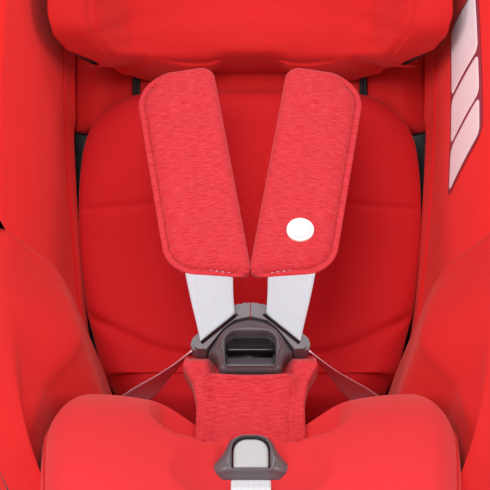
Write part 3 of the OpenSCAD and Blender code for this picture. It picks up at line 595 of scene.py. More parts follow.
BY_SLOT = {
    "tray_plastic": M_TRAY, "shell_plastic": M_SHELL, "rubber": M_RUBBER, "steel": M_STEEL,
    "red_cloth": M_JERSEY, "red_weave": M_HEATHER, "webbing": M_WEB, "dark_webbing": M_DARK_WEB,
    "buckle_plastic": M_TONGUE, "button_black": M_BUTTON, "button_silver": M_SILVER,
    "release_red": M_RELEASE, "badge": M_BADGE, "label": M_BADGE,
}
for part in frame["record"]["subparts"]:
    ob = nodes[part["node"]]
    ob.data.materials.clear()
    ob.data.materials.append(BY_SLOT[part["material_slot"]])
SOFT_EDGE = {
    "base_tray": 1.6, "base_cover": 3.0, "base_feet": 1.2, "rear_cover": 3.0, "recline_sled": 1.2,
    "arm_bars": 1.0, "arm_guides": 0.6,
    "connector_left": 1.4, "connector_right": 1.4, "jaw_left": 0.6, "jaw_right": 0.6,
    "connector_button_left": 0.5, "connector_button_right": 0.5,
    "arm_button_left": 1.0, "arm_button_right": 1.0,
    "recline_handle": 2.2, "headrest_lever": 3.0, "headrest_carriage": 1.0, "slide_blocks": 0.6,
    "recline_rails": 0.5, "tongue_left": 0.7, "tongue_right": 0.7, "adjuster_frame": 0.5, "tether_hook": 0.5,
    "tether_gate": 0.3, "harness_yoke": 0.4, "height_rack": 0.3, "headrest_bolt": 0.4,
    "recline_lock_bar": 0.5, "recline_rack": 0.4, "pad_badge": 0.25, "strap_anchors": 0.4,
}
for name, width in SOFT_EDGE.items():
    mod = nodes[name].modifiers.new("edge", "BEVEL")
    mod.width, mod.segments, mod.limit_method, mod.angle_limit = width * MM, 3, "ANGLE", math.radians(35)
    mod.harden_normals = False
    nodes[name].data.shade_smooth()
    norm = nodes[name].modifiers.new("normals", "WEIGHTED_NORMAL")
    norm.keep_sharp = True

# ---------------------------------------------------------------- shells


def mesh_shell(name, point, us, ts, wall, body, replaces, hole=None):
    """A shell of the given wall thickness behind a surface, open where hole says so."""
    u, t = np.meshgrid(us, ts, indexing="ij")
    upper, lower = point(u, t, 0 * u), point(u, t, 0 * u - wall)
    keep = None if hole is None else ~hole((upper[:-1, :-1] + upper[1:, 1:]) / 2)
    points = np.concatenate([upper.reshape(-1, 3), lower.reshape(-1, 3)])
    make(name, points, two_sided(*u.shape, keep), M_SHELL, body, slot="shell_plastic", replaces=replaces)


def shell_holes(p):
    x, y, z = p[..., 0], p[..., 1], p[..., 2]
    along = (y - BACK_AT[0]) * math.sin(BACK) + (z - BACK_AT[1]) * math.cos(BACK)
    slots = (np.abs(x) > 42) & (np.abs(x) < 92) & (along > 80) & (along < 256)
    crotch = (np.abs(x) < 21) & (np.abs(y + 130) < 6) & (z < 240)
    lap = (np.abs(np.abs(x) - 134) < 9) & (np.abs(y - 90) < 18) & (z < 190)
    return slots | crotch | lap


wall_t = np.linspace(FLOOR_END, 1, 34)[1:]
shell_t = np.concatenate([-wall_t[::-1], np.linspace(-FLOOR_END, FLOOR_END, 70), wall_t])
mesh_shell("seat_shell_skin", seat, np.linspace(0, 11, 190), shell_t, 6, "seat", "seat_shell", shell_holes)


def head_corner(u):
    """How far across the headrest reaches at u: its four corners are rounded."""
    corner = 1 - 0.12 * (1 - dome(u, 0.8))
    return corner - 0.2 * (1 - dome(6 - u, 0.8))


def head_form(u, t, n):
    return head(u, t * head_corner(u) * 0.985, n + 4)


mesh_shell("headrest_back", head_form, np.linspace(0.08, 5.95, 60), np.linspace(-1, 1, 90), 4, "headrest",
           "headrest_shell")

# ---------------------------------------------------------------- wing and side covers


def rim_roll(u, n_in, n_out, radius):
    """Points that carry a cover round the shell's rim, at columns of the angle from inside to outside."""
    phi = np.linspace(0, math.pi, 16)[None, :]
    u = u[:, None]
    edge, inner = seat(u, 1 + 0 * u, 0 * u), seat(u, 0.9 + 0 * u, 0 * u)
    out = unit(edge - inner)
    lateral = unit(seat(u, 1 + 0 * u, 1 + 0 * u) - edge)
    mid = (n_in + n_out) / 2
    r = (n_in - n_out) / 2
    return edge + lateral * (mid + r * np.cos(phi))[..., None] + out * (radius * np.sin(phi))[..., None]


def mirrored(p, side):
    return p * [side, 1, 1]


def wing_face(t, base):
    """How far the wing's cloth stands off the shell at t, from a base height."""
    k = (t - 0.58) / 0.42
    return base + 6.5 * smooth(0.05, 0.75, k) + 2 * np.sin(np.pi * k)


for label, side in SIDES:
    # The wing: from the corner of the backrest, over the wall and round the rim to the outside of the shell.
    us = np.linspace(5.35, 10.93, 190)
    start = 0.555 + 0.015 * smooth(8.62, 8.42, us)[:, None]
    k = np.concatenate([np.linspace(0, 0.25, 30), np.linspace(0.25, 1, 46)[1:]])[None, :]
    u, t = us[:, None] + 0 * k, start + (1 - start) * k
    n = 2 + 7.5 * smooth(0, 0.07, k) ** 0.6 + 6.5 * smooth(0.05, 0.75, k) + 2 * np.sin(np.pi * k) + 0 * u
    seam = 0.665 + 0.01 * (u - 8)
    n -= 3.0 * bell(t, seam, 0.004) * smooth(5.4, 6.0, u)
    n *= smooth(10.95, 10.75, u) ** 0.5 * 0.75 + 0.25
    inner = seat(u, t, n)
    roll = rim_roll(us, n[:, -1][:, None], -8.5 + 0 * us[:, None], 11.0)
    out_t = np.linspace(1, 0.93, 6)[None, 1:]
    outer = seat(us[:, None], out_t, -8.5 + 0 * out_t)
    tuck = seat(us[:, None], out_t[:, -1:], -6.0)
    p = np.concatenate([inner, roll[:, 1:], outer, tuck], 1)
    sheet(f"wing_cover_{label}", mirrored(p, side)[:, ::side], M_WING_PAINTED_LIGHT, "seat", slot="red_cloth",
          replaces="wing_pads")
    # Stitch line beside the wing's seam.
    run = us[(us > 6) & (us < 10.7)]
    line_t = 0.677 + 0.01 * (run - 8)
    line_n = wing_face(line_t, 9.6)
    line = mirrored(seat(run, line_t, line_n), side)
    lift = mirrored(seat(run, line_t, line_n + 1), side) - line
    stitches(f"wing_stitches_{label}", line, lift, M_THREAD, "seat", slot="red_cloth")

    # The side bolster: a thick roll beside the seat cushion that rises to the armrest.
    us = np.linspace(0.55, 5.75, 150)
    s = station(BUCKET, us)
    floor, rim = s[:, 0:2], s[:, 2:4]
    depth = np.linalg.norm(rim - floor, axis=-1)
    e = (rim - floor) / depth[:, None]
    rx = s[:, 5]
    x_front = np.interp(us, [0.55, 1, 2, 3], [132, 150, 160, 151])
    lift = np.interp(us, [0.55, 2, 3, 4, 5, 5.75], [0, 8, 11, 8, -5, -8])
    rear = smooth(3.0, 4.0, us)

    def x_at(h):
        lean_in = np.interp(h, [0, 50, 100, 150, 199, 230, 262], [108, 110, 119, 131, 143, 156, 176])
        return lean_in * rear + (1 - rear) * (x_front + 10 * smooth(0.5, 1.0, h / depth))

    profile = [(x_at(k * depth), k * depth) for k in (0.04, 0.16, 0.28, 0.4, 0.52, 0.64, 0.75, 0.85)]
    top = depth + lift
    shoulder = x_at(0.85 * depth)
    profile += [(0.6 * shoulder + 0.4 * (rx - 8), 0.4 * 0.85 * depth + 0.6 * top), (rx - 22, top),
                (rx - 6, top + 1), (rx + 4, top - 4), (rx + 8, top - 15), (rx + 7, top - 27)]
    ends = np.clip((us - 5.0) / 0.75, 0, 1) + np.clip((1.3 - us) / 0.75, 0, 1)
    ends = 1 - np.sqrt(np.clip(1 - ends**2, 0, 1))
    cols = []
    for x, h in profile:
        h = h * (1 - 0.12 * ends)
        wall = s[:, 4] + (rx - s[:, 4]) * np.clip(h / depth, 0, 1) + np.where(h > depth, 6, -3)
        x = np.where(x < wall, x * (1 - ends) + wall * ends, x)
        yz = floor + e * h[:, None]
        cols.append(np.stack([x, yz[:, 0], yz[:, 1]], -1))
    knots = np.stack(cols, 1)
    p = np.stack([spline(row, 110) for row in knots])
    sheet(f"side_bolster_{label}", mirrored(p, side)[:, ::side], M_JERSEY, "seat", slot="red_cloth",
          replaces="hip_bolsters")

# ---------------------------------------------------------------- label and badge


# About how many millimetres a whole t and a whole u are on the wing.
ACROSS, ALONG = 300, 68


def film(name, u0, u1, t0, t1, lift, material, radius, **more):
    """A thin film with rounded corners on the right wing cover."""
    wide, high = ACROSS * (t1 - t0), ALONG * (u1 - u0)
    corners = [(0, 0), (wide, 0), (wide, high), (0, high)]
    outline = rounded(corners, [radius] * 4, 1.5)
    heart = heart_line(outline, (wide / 2, wide / 2), (wide / 2, high - wide / 2))

    def place(p):
        t = t0 + p[..., 0] / ACROSS
        return seat(u0 + p[..., 2] / ALONG, t, wing_face(t, 9.5) - p[..., 1])

    ob = pad(name, outline, heart, [0, 0.4, 1, 3, 8], lambda plan, d: lift + 0.3 * smooth(0, 1, d), place,
             material, "seat", slot="label", **more)
    ob.data.flip_normals()


film("label_film", 7.40, 8.84, 0.78, 0.94, 0.6, M_LABEL, 6, replaces="instruction_label")
for i, (low, high) in enumerate(((7.43, 7.80), (7.84, 8.22), (8.26, 8.81))):
    film(f"label_panel_{i}", low, high, 0.79, 0.93, 1.1, M_PANEL, 4)

outline = rounded([(-11, -11), (11, -11), (11, 11), (-11, 11)], [11] * 4, 1.2)
outline = 11.2 * outline / np.linalg.norm(outline, axis=-1, keepdims=True)
for name, scale, lift, material in (("badge_disc", 1.0, 8.6, M_BADGE), ("badge_face", 0.8, 9.9, M_PANEL)):
    pad(name, outline * scale, 0 * outline, [0, 0.3, 0.8, 1.6, 3, 6],
        lambda plan, d: lift + 1.1 * dome(d, 1.6), lambda p: on_shoulder(1)(p + [1.5, 0, 38]),
        material, "seat", under=lambda plan, d: 5 + 0 * d, slot="badge", replaces="pad_badge")

# ---------------------------------------------------------------- back panel and inlay

u, t = np.meshgrid(np.linspace(8.53, 10.93, 90), np.linspace(-0.548, 0.548, 130), indexing="ij")
n = 2 + 15 * smooth(0.548, 0.51, np.abs(t)) ** 0.6 * smooth(8.52, 8.62, u) ** 0.5
n -= 2.6 * bell(np.abs(t), 0.30, 0.006)
sheet("back_panel", seat(u, t, n), M_JERSEY, "seat", under=seat(u, t, 1.5 + 0 * u), slot="red_cloth",
      replaces="back_pad")

# The inlay is drawn in plan: x across, and v up the backrest from the bottom of the bucket.
INLAY_U = np.linspace(4.9, 9.2, 400)
inlay_c = station(BUCKET, INLAY_U)[:, :2]
INLAY_V = np.concatenate([[0], np.cumsum(np.linalg.norm(np.diff(inlay_c, axis=0), axis=-1))])
V_TOP = float(np.interp(8.86, INLAY_U, INLAY_V))


def on_inlay(p):
    u = np.interp(p[..., 2], INLAY_V, INLAY_U)
    s = station(BUCKET, u)
    t = FLOOR_END * np.clip(np.abs(p[..., 0]) / (s[..., 4] - 26), 0, 1.15)
    near = seat(u, np.sign(p[..., 0]) * np.minimum(t, 0.56), -p[..., 1], 0.0)
    near[..., 0] = p[..., 0]
    return near


half = [(0, V_TOP), (80, V_TOP - 1), (112, V_TOP - 7), (132, V_TOP - 22), (144.5, V_TOP - 44),
        (149.5, V_TOP - 80), (150, V_TOP - 125), (147, V_TOP - 165), (142, V_TOP - 200), (135, V_TOP - 225),
        (126, V_TOP - 258), (110, 66), (78, 42), (40, 30), (0, 27)]
right = spline(half, 300)
outline = resample(np.concatenate([right, (right * [-1, 1])[::-1][1:-1]]), 2.0, closed=True)
heart = heart_line(outline, (0, 120), (0, V_TOP - 110))
INSETS = [0, 0.6, 1.5, 3, 5, 7, 9, 12, 15, 18, 22, 26, 30, 34, 38, 42, 46, 50, 55, 60, 66, 72, 80, 90]


def seam_groove(plan, line, width, depth):
    """A groove along a seam drawn in plan as a line of points."""
    q = resample(spline(line, 120), 2.5)
    flat = plan.reshape(-1, 2)
    best = np.full(len(flat), 1e9)
    for k in range(0, len(q), 40):
        block = q[k:k + 41]
        best = np.minimum(best, np.linalg.norm(flat[:, None] - block[None], axis=-1).min(1))
    best = best.reshape(plan.shape[:-1])
    return depth * bell(best, 0, width)


SMILE = [(-156, V_TOP - 186), (-138, V_TOP - 203), (-83, V_TOP - 226), (-50, V_TOP - 231), (0, V_TOP - 233),
         (50, V_TOP - 231), (83, V_TOP - 226), (138, V_TOP - 203), (156, V_TOP - 186)]
UPPER_SEAM = [(-156, V_TOP - 108), (-60, V_TOP - 100), (0, V_TOP - 98), (60, V_TOP - 100), (156, V_TOP - 108)]


def inlay_top(plan, d):
    x, v = plan[..., 0], plan[..., 1]
    full = 30 + 16 * smooth(V_TOP - 130, V_TOP - 235, v)
    full += 10 * smooth(40, 120, v) * smooth(V_TOP - 200, V_TOP - 270, v)
    h = 22 + (full - 14) * dome(d, 26)
    grooves = seam_groove(plan, SMILE, 4.0, 5.0) + seam_groove(plan, UPPER_SEAM, 3.0, 1.8)
    creases = 1.6 * np.sin(v / 7.5 + 0.02 * np.abs(x) ** 1.2) * smooth(95, 45, v) * smooth(8, 30, d)
    return h - grooves * smooth(0, 6, d) + creases


pad("seat_inlay", outline, heart, INSETS, inlay_top, on_inlay, M_INLAY, "seat",
    under=lambda plan, d: 20 + 0 * d, slot="red_cloth", replaces="infant_insert")

# ---------------------------------------------------------------- seat cushion

us = np.concatenate([np.linspace(0.15, 1.2, 40), np.linspace(1.2, 4.75, 130)[1:]])
u, w = np.meshgrid(us, np.linspace(-1, 1, 201), indexing="ij")
s = station(BUCKET, u)
ahead = unit(station(BUCKET, u + 0.02)[..., :2] - station(BUCKET, np.maximum(u - 0.02, 0))[..., :2])
inward = np.stack([-ahead[..., 1], ahead[..., 0]], -1)
x_edge = np.interp(u, [0.15, 1, 2, 3, 4, 4.75], [132, 150, 156, 146, 126, 118])
x = w * x_edge
a = np.abs(x)
long_way = smooth(0.12, 1.0, u) ** 0.5 * smooth(4.8, 4.0, u) ** 0.6
lobe = (1 - (1 - np.clip(a / 120, 0, 1)) ** 1.8) * smooth(0.3, 1.6, u) * smooth(4.3, 2.6, u)
side_round = np.sqrt(np.clip(1 - np.clip((a - (x_edge - 26)) / 26, 0, 1) ** 2, 0, 1))
slot_dip = 15 * smooth(2.2, 2.9, u) * smooth(80, 20, a) * smooth(4.4, 3.4, u)
n = 8 + long_way * (24 + 15 * smooth(0.4, 1.6, u) + 29 * lobe - slot_dip) * (0.30 + 0.70 * side_round)
n -= 2.2 * bell(a, x_edge - 5, 1.6) * smooth(0.4, 1.0, u)
p = np.concatenate([x[..., None], s[..., :2] + inward * n[..., None]], -1)
low = np.concatenate([x[..., None] * 0.97, s[..., :2] + inward * 4.0], -1)


def beside(p, origin, angle, x_away, span):
    """In a part's own frame: each point's height, and how far it lies beside the part."""
    dy, dz = p[..., 1] - origin[0], p[..., 2] - origin[1]
    out = -(math.cos(angle) * dy - math.sin(angle) * dz)
    along = math.sin(angle) * dy + math.cos(angle) * dz
    return out, np.hypot(np.maximum(x_away, 0), np.maximum(np.abs(along - span[0]) - span[1], 0))


def moved_out(p, angle, amount):
    p[..., 1] -= amount * math.cos(angle)
    p[..., 2] += amount * math.sin(angle)


def drawn_in(p, origin, angle, half, span, limit, slope, reach):
    """Lower the cloth where a part lies on it: limit is the height allowed under the part."""
    out, away = beside(p, origin, angle, np.abs(p[..., 0]) - half, span)
    dip = np.maximum(out - limit - slope * away - 0.008 * away**2, 0) * (1 - smooth(0.7 * reach, reach, away))
    moved_out(p, angle, -dip)


def raised_over(p, origin, angle, centre, half, span, floor, reach):
    """Lift the cloth over both upper corners of a part: floor is the least height over them."""
    out, away = beside(p, origin, angle, np.abs(np.abs(p[..., 0]) - centre) - half, span)
    moved_out(p, angle, np.maximum(floor - out, 0) * smooth(reach, 0.2 * reach, away))


# The crotch pad, the adjuster's surround and its lever lie in the cushion; the adjuster's frame is under it.
drawn_in(p, HARNESS_AT, HARNESS, 42, (16, 34), -1.0, 1.0, 34)
drawn_in(p, FRONT_AT, FRONT, 21, (-2, 15), 10.3, 0.35, 80)
drawn_in(p, FRONT_AT, FRONT, 12, (-1, 11), 3.0, 2.0, 8)
raised_over(p, FRONT_AT, FRONT, 18.5, 3, (13, 4), 10.0, 5)
sheet("seat_cushion", p, M_SEAT_PAINTED_SHEEN, "seat", under=low, slot="red_cloth", replaces="seat_pad")
for label, side in SIDES:
    column = int(np.argmin(np.abs(a[60] - (x_edge[60] - 5)) + 1e3 * (np.sign(x[60]) != side)))
    rows = np.arange(24, 110)
    down_seam = p[rows + 1, column] - p[rows - 1, column]
    across_seam = p[rows, column + 1] - p[rows, column - 1]
    normal = unit(np.cross(down_seam, across_seam))
    normal *= np.sign(normal[:, 2:3] + 1e-9)
    cord(f"cushion_piping_{label}", p[rows, column] + normal * 0.2, 1.3, M_PIPING, "seat", slot="red_cloth")

# ---------------------------------------------------------------- headrest

us = np.concatenate([np.linspace(0, 0.9, 36), np.linspace(0.9, 5.4, 90)[1:], np.linspace(5.4, 6, 20)[1:]])
ts = np.concatenate([np.linspace(-1, -0.9, 16)[:-1], np.linspace(-0.9, 0.9, 150),
                     np.linspace(0.9, 1, 16)[1:]])
u, t = us[:, None] + 0 * ts, head_corner(us)[:, None] * ts
ends = dome(u, 0.75) * dome(6 - u, 0.7)
a = np.abs(t)
rims = dome(1 - a, 0.1)
thick = 14 + 26 * np.exp(-(((u - 2.6) / 3.0) ** 4)) * (1 - 0.45 * smooth(0.5, 0.7, a))
n = 5 + thick * ends * (0.25 + 0.75 * rims)
n -= 2.6 * bell(a, 0.955, 0.005) * smooth(0.1, 0.5, u)
# A fold on each side of the lower edge, with its crease above.
n += 3.5 * bell(a, 0.42, 0.11) * bell(u, 0.12, 0.22)
n -= 3.0 * bell(u - 0.5 * (a - 0.42), 0.42, 0.07) * smooth(0.26, 0.36, a) * smooth(0.6, 0.5, a)
n += 0.5 * np.sin(9 * u + 4 * a) * smooth(0.8, 1.6, u) * smooth(5.4, 4.6, u)


def wrapped(p, normal, back, radius):
    """The grid carried round all four of its edges and a little way in behind."""
    for axis in (0, 1):
        p, normal = np.swapaxes(p, 0, axis), np.swapaxes(normal, 0, axis)
        out_a, out_b = unit(p[0] - p[3]), unit(p[-1] - p[-4])
        before, after = [], []
        for f in np.linspace(0, math.pi, 9)[1:]:
            drop, reach = back / 2 * (1 - math.cos(f)), radius * math.sin(f)
            before.insert(0, p[0] - normal[0] * drop + out_a * reach)
            after.append(p[-1] - normal[-1] * drop + out_b * reach)
        before.insert(0, p[0] - normal[0] * back - out_a * 12)
        after.append(p[-1] - normal[-1] * back - out_b * 12)
        more = len(before)
        p = np.concatenate([np.array(before), p, np.array(after)])
        normal = np.concatenate([np.repeat(normal[:1], more, 0), normal, np.repeat(normal[-1:], more, 0)])
        p, normal = np.swapaxes(p, 0, axis), np.swapaxes(normal, 0, axis)
    return p


face = head(u, t, n)
lateral = unit(head(u, t, n + 1) - face)
# The lower edge hangs, most of all where the face turns to the sides.
face[..., 2] -= (4 + 9 * bell(a, 0.5, 0.15)) * smooth(0.74, 0.5, a) * smooth(1.2, 0, u)
sheet("headrest_cushion", wrapped(face, lateral, 9.0, 6.0), M_JERSEY, "headrest", slot="red_cloth",
      replaces="headrest_pad")

# ---------------------------------------------------------------- strap guides at the headrest's slots

for label, side in SIDES:
    outline = rounded([(97, 76), (104, 76), (104, 122), (97, 122)], [3] * 4, 1.0)
    heart = heart_line(outline, (100.5, 82), (100.5, 112))
    guide = pad(f"strap_guide_{label}", outline, heart, [0, 0.4, 1, 2, 4, 6],
                lambda plan, d: 19.4 + 1.4 * smooth(0, 1.4, d) - 1.2 * smooth(2.4, 3.4, d),
                lambda q: on_back(mirrored(q, side)), M_RUBBER, "headrest",
                under=lambda plan, d: 17.6 + 0 * d, slot="rubber")
    if side < 0:
        guide.data.flip_normals()

# ---------------------------------------------------------------- shoulder pads


def shoulder_pad(label, side):
    corners = np.array([(-34, -10), (34, 6), (34, 203), (-34, 204)], float)
    # The outer edge is bound, and the inner edge is the fold; plan x grows to the outside.
    outline = rounded(corners, [8, 26, 30, 10], 1.6)
    heart = heart_line(outline, (2, 34), (2, 168))
    x, z = outline[:, 0], outline[:, 1]
    flange = np.maximum(smooth(6, 22, x), smooth(14, 4, z + 2 - 0.235 * x) * smooth(-32, -24, x))
    wobble = 0.55 * np.sin(z / 3.1 + 1.3 * np.sin(z / 17)) + 0.4 * np.sin(z / 1.9 + 2)

    def height(plan, d):
        f = flange[None, :]
        border = 1.5 * dome(d, 1.4)
        border = border - 0.8 * bell(d, 5.4, 0.9) + 6.2 * (1 - np.exp(-np.clip(d - 5.6, 0, 99) / 5.5))
        fold = 7.6 * dome(d, 8)
        pucker = wobble[None, :] * f * np.exp(-np.clip(d - 6, 0, 99) / 9) * smooth(4.6, 6.5, d)
        quilt = 0.35 * np.sin(plan[..., 1] / 5.2 + 0.8 * np.sin(plan[..., 0] / 9))
        return f * border + (1 - f) * fold + pucker + quilt * smooth(10, 20, d)

    insets = [0, 0.4, 0.9, 1.5, 2.5, 3.6, 4.5, 5.0, 5.4, 5.8, 6.3, 7, 8, 9.5, 11, 13, 15.5, 18, 21, 25]

    def place(p):
        return on_shoulder(side)(mirrored(p, side))

    ob = pad(f"shoulder_pad_cover_{label}", outline, heart, insets, height, place, M_HEATHER, "seat",
             under=lambda plan, d: -height(plan, d) * 0.9, slot="red_weave", replaces=f"shoulder_pad_{label}")
    if side < 0:
        ob.data.flip_normals()
    plan, _ = rings(outline, heart, [5.4])
    sel = np.where(flange > 0.6)[0]
    gap = np.where(np.diff(sel) > 3)[0]
    order = np.concatenate([sel[gap[0] + 1:], sel[:gap[0] + 1]]) if len(gap) else sel
    edge = plan[0][order]
    line = np.stack([edge[:, 0], np.full(len(edge), -1.15), edge[:, 1]], -1)
    lift = place(line - [0, 1, 0]) - place(line)
    line = place(line)
    stitches(f"shoulder_stitches_{label}", line, lift, M_THREAD, "seat", slot="red_weave")


for label, side in SIDES:
    shoulder_pad(label, side)

# ---------------------------------------------------------------- crotch pad


def crotch_layer(name, half, front, back, fat, hem, rise=0.0, flare=0.0):
    """One padded layer on half an outline; rise lifts its upper middle and flare its sides."""
    right = np.array(half, float)
    outline = rounded(np.concatenate([right, (right * [-1, 1])[::-1]]), [4] * (2 * len(half)), 1.4)
    low, high = outline[:, 1].min() + 22, outline[:, 1].max() - 22
    heart = heart_line(outline, (-16, (low + high) / 2), (16, (low + high) / 2))

    def upper_middle(plan):
        return smooth(30, 50, plan[..., 1]) * smooth(40, 28, np.abs(plan[..., 0]))

    def top(plan, d):
        h = 1.6 * dome(d, 1.5)
        h = h + 0.9 * bell(d, 3.5, 2.2) - 0.7 * bell(d, hem, 0.8)
        h = h + fat * (1 - np.exp(-np.clip(d - hem, 0, 99) / 4.5))
        h = h + 0.4 * np.sin(plan[..., 1] / 4.6 + 0.4 * np.sin(plan[..., 0] / 8)) * smooth(hem, hem + 6, d)
        side = smooth(27, 35, np.abs(plan[..., 0])) * smooth(78, 66, plan[..., 1])
        return front + h + rise * upper_middle(plan) + flare * side

    insets = [0, 0.4, 1.0, 1.8, 3, 4.2, 5.4, 6.4, 7.0, 7.4, 7.8, 8.4, 9.2, 10.5, 12, 14, 17, 20, 24]
    pad(name, outline, heart, insets, top, on_harness, M_HEATHER, "seat", under=lambda plan, d: -back + 0 * d,
        slot="red_weave", replaces="crotch_pad")
    x_seam, z_seam = half[0][0] - hem - 1.5, outline[:, 1].max() - hem - 2.5
    lines = [resample([(sx * x_seam, -14.0), (sx * x_seam, z_seam)], 1.5) for sx in (-1, 1)]
    lines.append(resample([(-x_seam, z_seam), (x_seam, z_seam)], 1.5))
    for i, q in enumerate(lines):
        seam_height = front + 1.5 + fat * 0.35 + 0.9 * rise * upper_middle(q)
        line = np.stack([q[:, 0], -seam_height, q[:, 1]], -1)
        lift = on_harness(line - [0, 1, 0]) - on_harness(line)
        stitches(f"{name}_stitches_{i}", on_harness(line), lift, M_THREAD, "seat", slot="red_weave")


rear_half = [(43, -4), (42, 30), (45, 48), (53, 64), (52, 80), (40, 84)]
front_half = [(35, -17), (36, 30), (36.5, 46), (37, 53), (22, 52), (9, 51.2)]
crotch_layer("crotch_pad_rear", rear_half, -9.0, 13.0, 0.8, 5.0, 0.0, 12.0)
crotch_layer("crotch_pad_front", front_half, 2.6, 2.0, 1.8, 6.0, 8.0)

# ---------------------------------------------------------------- buckle and adjuster


def at_angles(outline, centre, angles):
    """Points of a star-shaped outline in the given directions from its centre."""
    rel = outline - centre
    found = np.arctan2(rel[:, 1], rel[:, 0])
    order = np.argsort(found)
    turn = np.concatenate([found[order] - 2 * math.pi, found[order], found[order] + 2 * math.pi])
    r = np.interp(angles, turn, np.tile(np.linalg.norm(rel, axis=-1)[order], 3))
    return centre + r[:, None] * np.stack([np.cos(angles), np.sin(angles)], -1)


def framed(name, outer, inner, centre, rows, place, tweak, material, replaces):
    """A moulded frame between two outlines; rows are (share of the way in, height) from the back inwards."""
    found = [np.arctan2(*(o - centre).T[::-1]) for o in (outer, inner)]
    angles = np.unique(np.round(np.concatenate(found), 3))
    a, b = at_angles(outer, centre, angles), at_angles(inner, centre, angles)
    points = []
    for k, h in rows:
        q = a + (b - a) * k
        height = tweak(q, np.full(len(q), float(h)), k)
        points.append(np.stack([q[:, 0], -height, q[:, 1]], -1))
    n = len(angles)
    faces = grid_faces(len(points), n, wrap=True, flip=True)
    faces.append(tuple((len(points) - 1) * n + j for j in range(n)))
    make(name, place(np.array(points)), faces, material, "seat", slot="buckle_plastic", replaces=replaces)


HOUSING = [(-21, -18.6), (21, -18.6), (24.6, -15.6), (25, -10), (27.5, -3), (34, 2), (20.8, 20.8), (12, 28.6),
           (0, 31.6), (-12, 28.6), (-20.8, 20.8), (-34, 2), (-27.5, -3), (-25, -10), (-24.6, -15.6)]
housing = rounded(HOUSING, [3, 3, 3, 10, 12, 2.5, 14, 14, 16, 14, 14, 2.5, 12, 10, 3], 0.9)
WINDOW = [(-19.8, -15), (19.8, -15), (19.8, 11.5), (14, 16.2), (-14, 16.2), (-19.8, 11.5)]
window = rounded(WINDOW, [3.2, 3.2, 6, 7, 7, 6], 0.9)


def housing_slope(q, h, k):
    """The housing's height, lower towards its flanks and its top."""
    low = 3.4 * smooth(23, 33, np.abs(q[:, 0])) + 1.2 * smooth(20, 31, q[:, 1])
    return h - low * (h > 5) * (k < 0.97)


framed("buckle_body", housing, window, (0, 1), [
    (0.0, -7.2), (-0.002, -6.4), (-0.004, 4.0), (0.0, 7.4), (0.03, 8.7), (0.08, 9.8), (0.16, 10.7),
    (0.30, 11.5), (0.46, 12.2), (0.58, 12.7), (0.66, 13.3), (0.72, 14.2), (0.78, 14.8), (0.85, 14.9),
    (0.92, 14.5), (0.97, 13.6), (1.0, 12.2), (1.02, 9.0), (1.03, 1.8), (1.2, 1.6)],
    on_buckle, housing_slope, M_BUCKLE, "buckle_housing")


def key_cap(name, profile, half, material, crown=1.4):
    """A key in the buckle's window; profile is a line of (z, height, half-width share), top to bottom."""
    q = spline(profile, 60)
    w = np.sin(np.linspace(-math.pi / 2, math.pi / 2, 41))
    x = w[None, :] * half * q[:, 2:3]
    h = q[:, 1:2] - crown * np.abs(w[None, :]) ** 10
    p = np.stack([x, -h, np.broadcast_to(q[:, 0:1], x.shape)], -1)
    sheet(name, on_buckle(p), material, "buckle_button", slot="button_black", replaces="buckle_button")


key_cap("buckle_key_upper", [(14.8, 5.6, 0.72), (13, 6.2, 0.86), (9, 7.4, 0.97), (5, 8.6, 1), (3, 9.8, 1),
                             (1.9, 10.6, 1), (0.9, 10.2, 1), (0.4, 8.4, 1), (0.3, 5.4, 1)], 19.4, M_BUTTON)
key_cap("buckle_key_lower", [(-4.0, 5.4, 1), (-4.2, 7.4, 1), (-4.9, 8.5, 1), (-6.5, 9.4, 1), (-10, 11.2, 1),
                             (-13.2, 12.6, 0.99), (-14.6, 12.2, 0.98)], 19.4, M_WINDOW, 1.0)

SURROUND = [(-23, -20), (23, -20), (35, -11.6), (33, -8.6), (23.5, -3), (18.6, 5), (15.6, 12.4), (9, 16.2),
            (-9, 16.2), (-15.6, 12.4), (-18.6, 5), (-23.5, -3), (-33, -8.6), (-35, -11.6)]
surround = rounded(SURROUND, [3, 3, 1.6, 4, 12, 14, 8, 9, 9, 8, 14, 12, 4, 1.6], 0.9)
OPENING = [(-14.1, -14.2), (14.1, -14.2), (14.1, 13.4), (-14.1, 13.4)]
opening = rounded(OPENING, [2.2, 2.2, 9.5, 9.5], 0.9)


def surround_slope(q, h, k):
    """The surround's height, lower towards its wings and its lower edge."""
    return h - (5.0 * smooth(17, 32, np.abs(q[:, 0])) + 2.5 * smooth(-14.5, -17, q[:, 1])) * (h > 12)


framed("adjuster_surround", surround, opening, (0, -1), [
    (0.0, 8.8), (-0.02, 9.0), (-0.02, 11.5), (0.0, 12.8), (0.06, 14.0), (0.16, 15.0), (0.35, 16.2),
    (0.55, 17.4), (0.72, 18.6), (0.84, 19.2), (0.94, 19.0), (1.0, 18.0), (1.02, 15.0), (1.02, 4.0),
    (1.1, 3.6)],
    on_adjuster, surround_slope, M_BEZEL, "adjuster_bezel")
LEVER = [(-12.9, -13.0), (12.9, -13.0), (12.9, 11.6), (-12.9, 11.6)]
lever = rounded(LEVER, [1.6, 1.6, 9, 9], 0.9)


def lever_top(plan, d):
    return 15.6 + 1.5 * dome(d, 1.6) + 0.7 * (1 - (plan[..., 0] / 13) ** 2) - 0.05 * plan[..., 1]


pad("adjuster_lever", lever, heart_line(lever, (0, -5), (0, 4)), [0, 0.2, 0.5, 0.9, 1.6, 3, 5, 7], lever_top,
    on_adjuster, M_SILVER, "adjuster_button", under=lambda plan, d: 10 + 0 * d, slot="button_silver",
    replaces="adjuster_button")

# ---------------------------------------------------------------- webbing


WEB_THICKNESS = 1.4
ACROSS_X = (1.0, 0.0, 0.0)


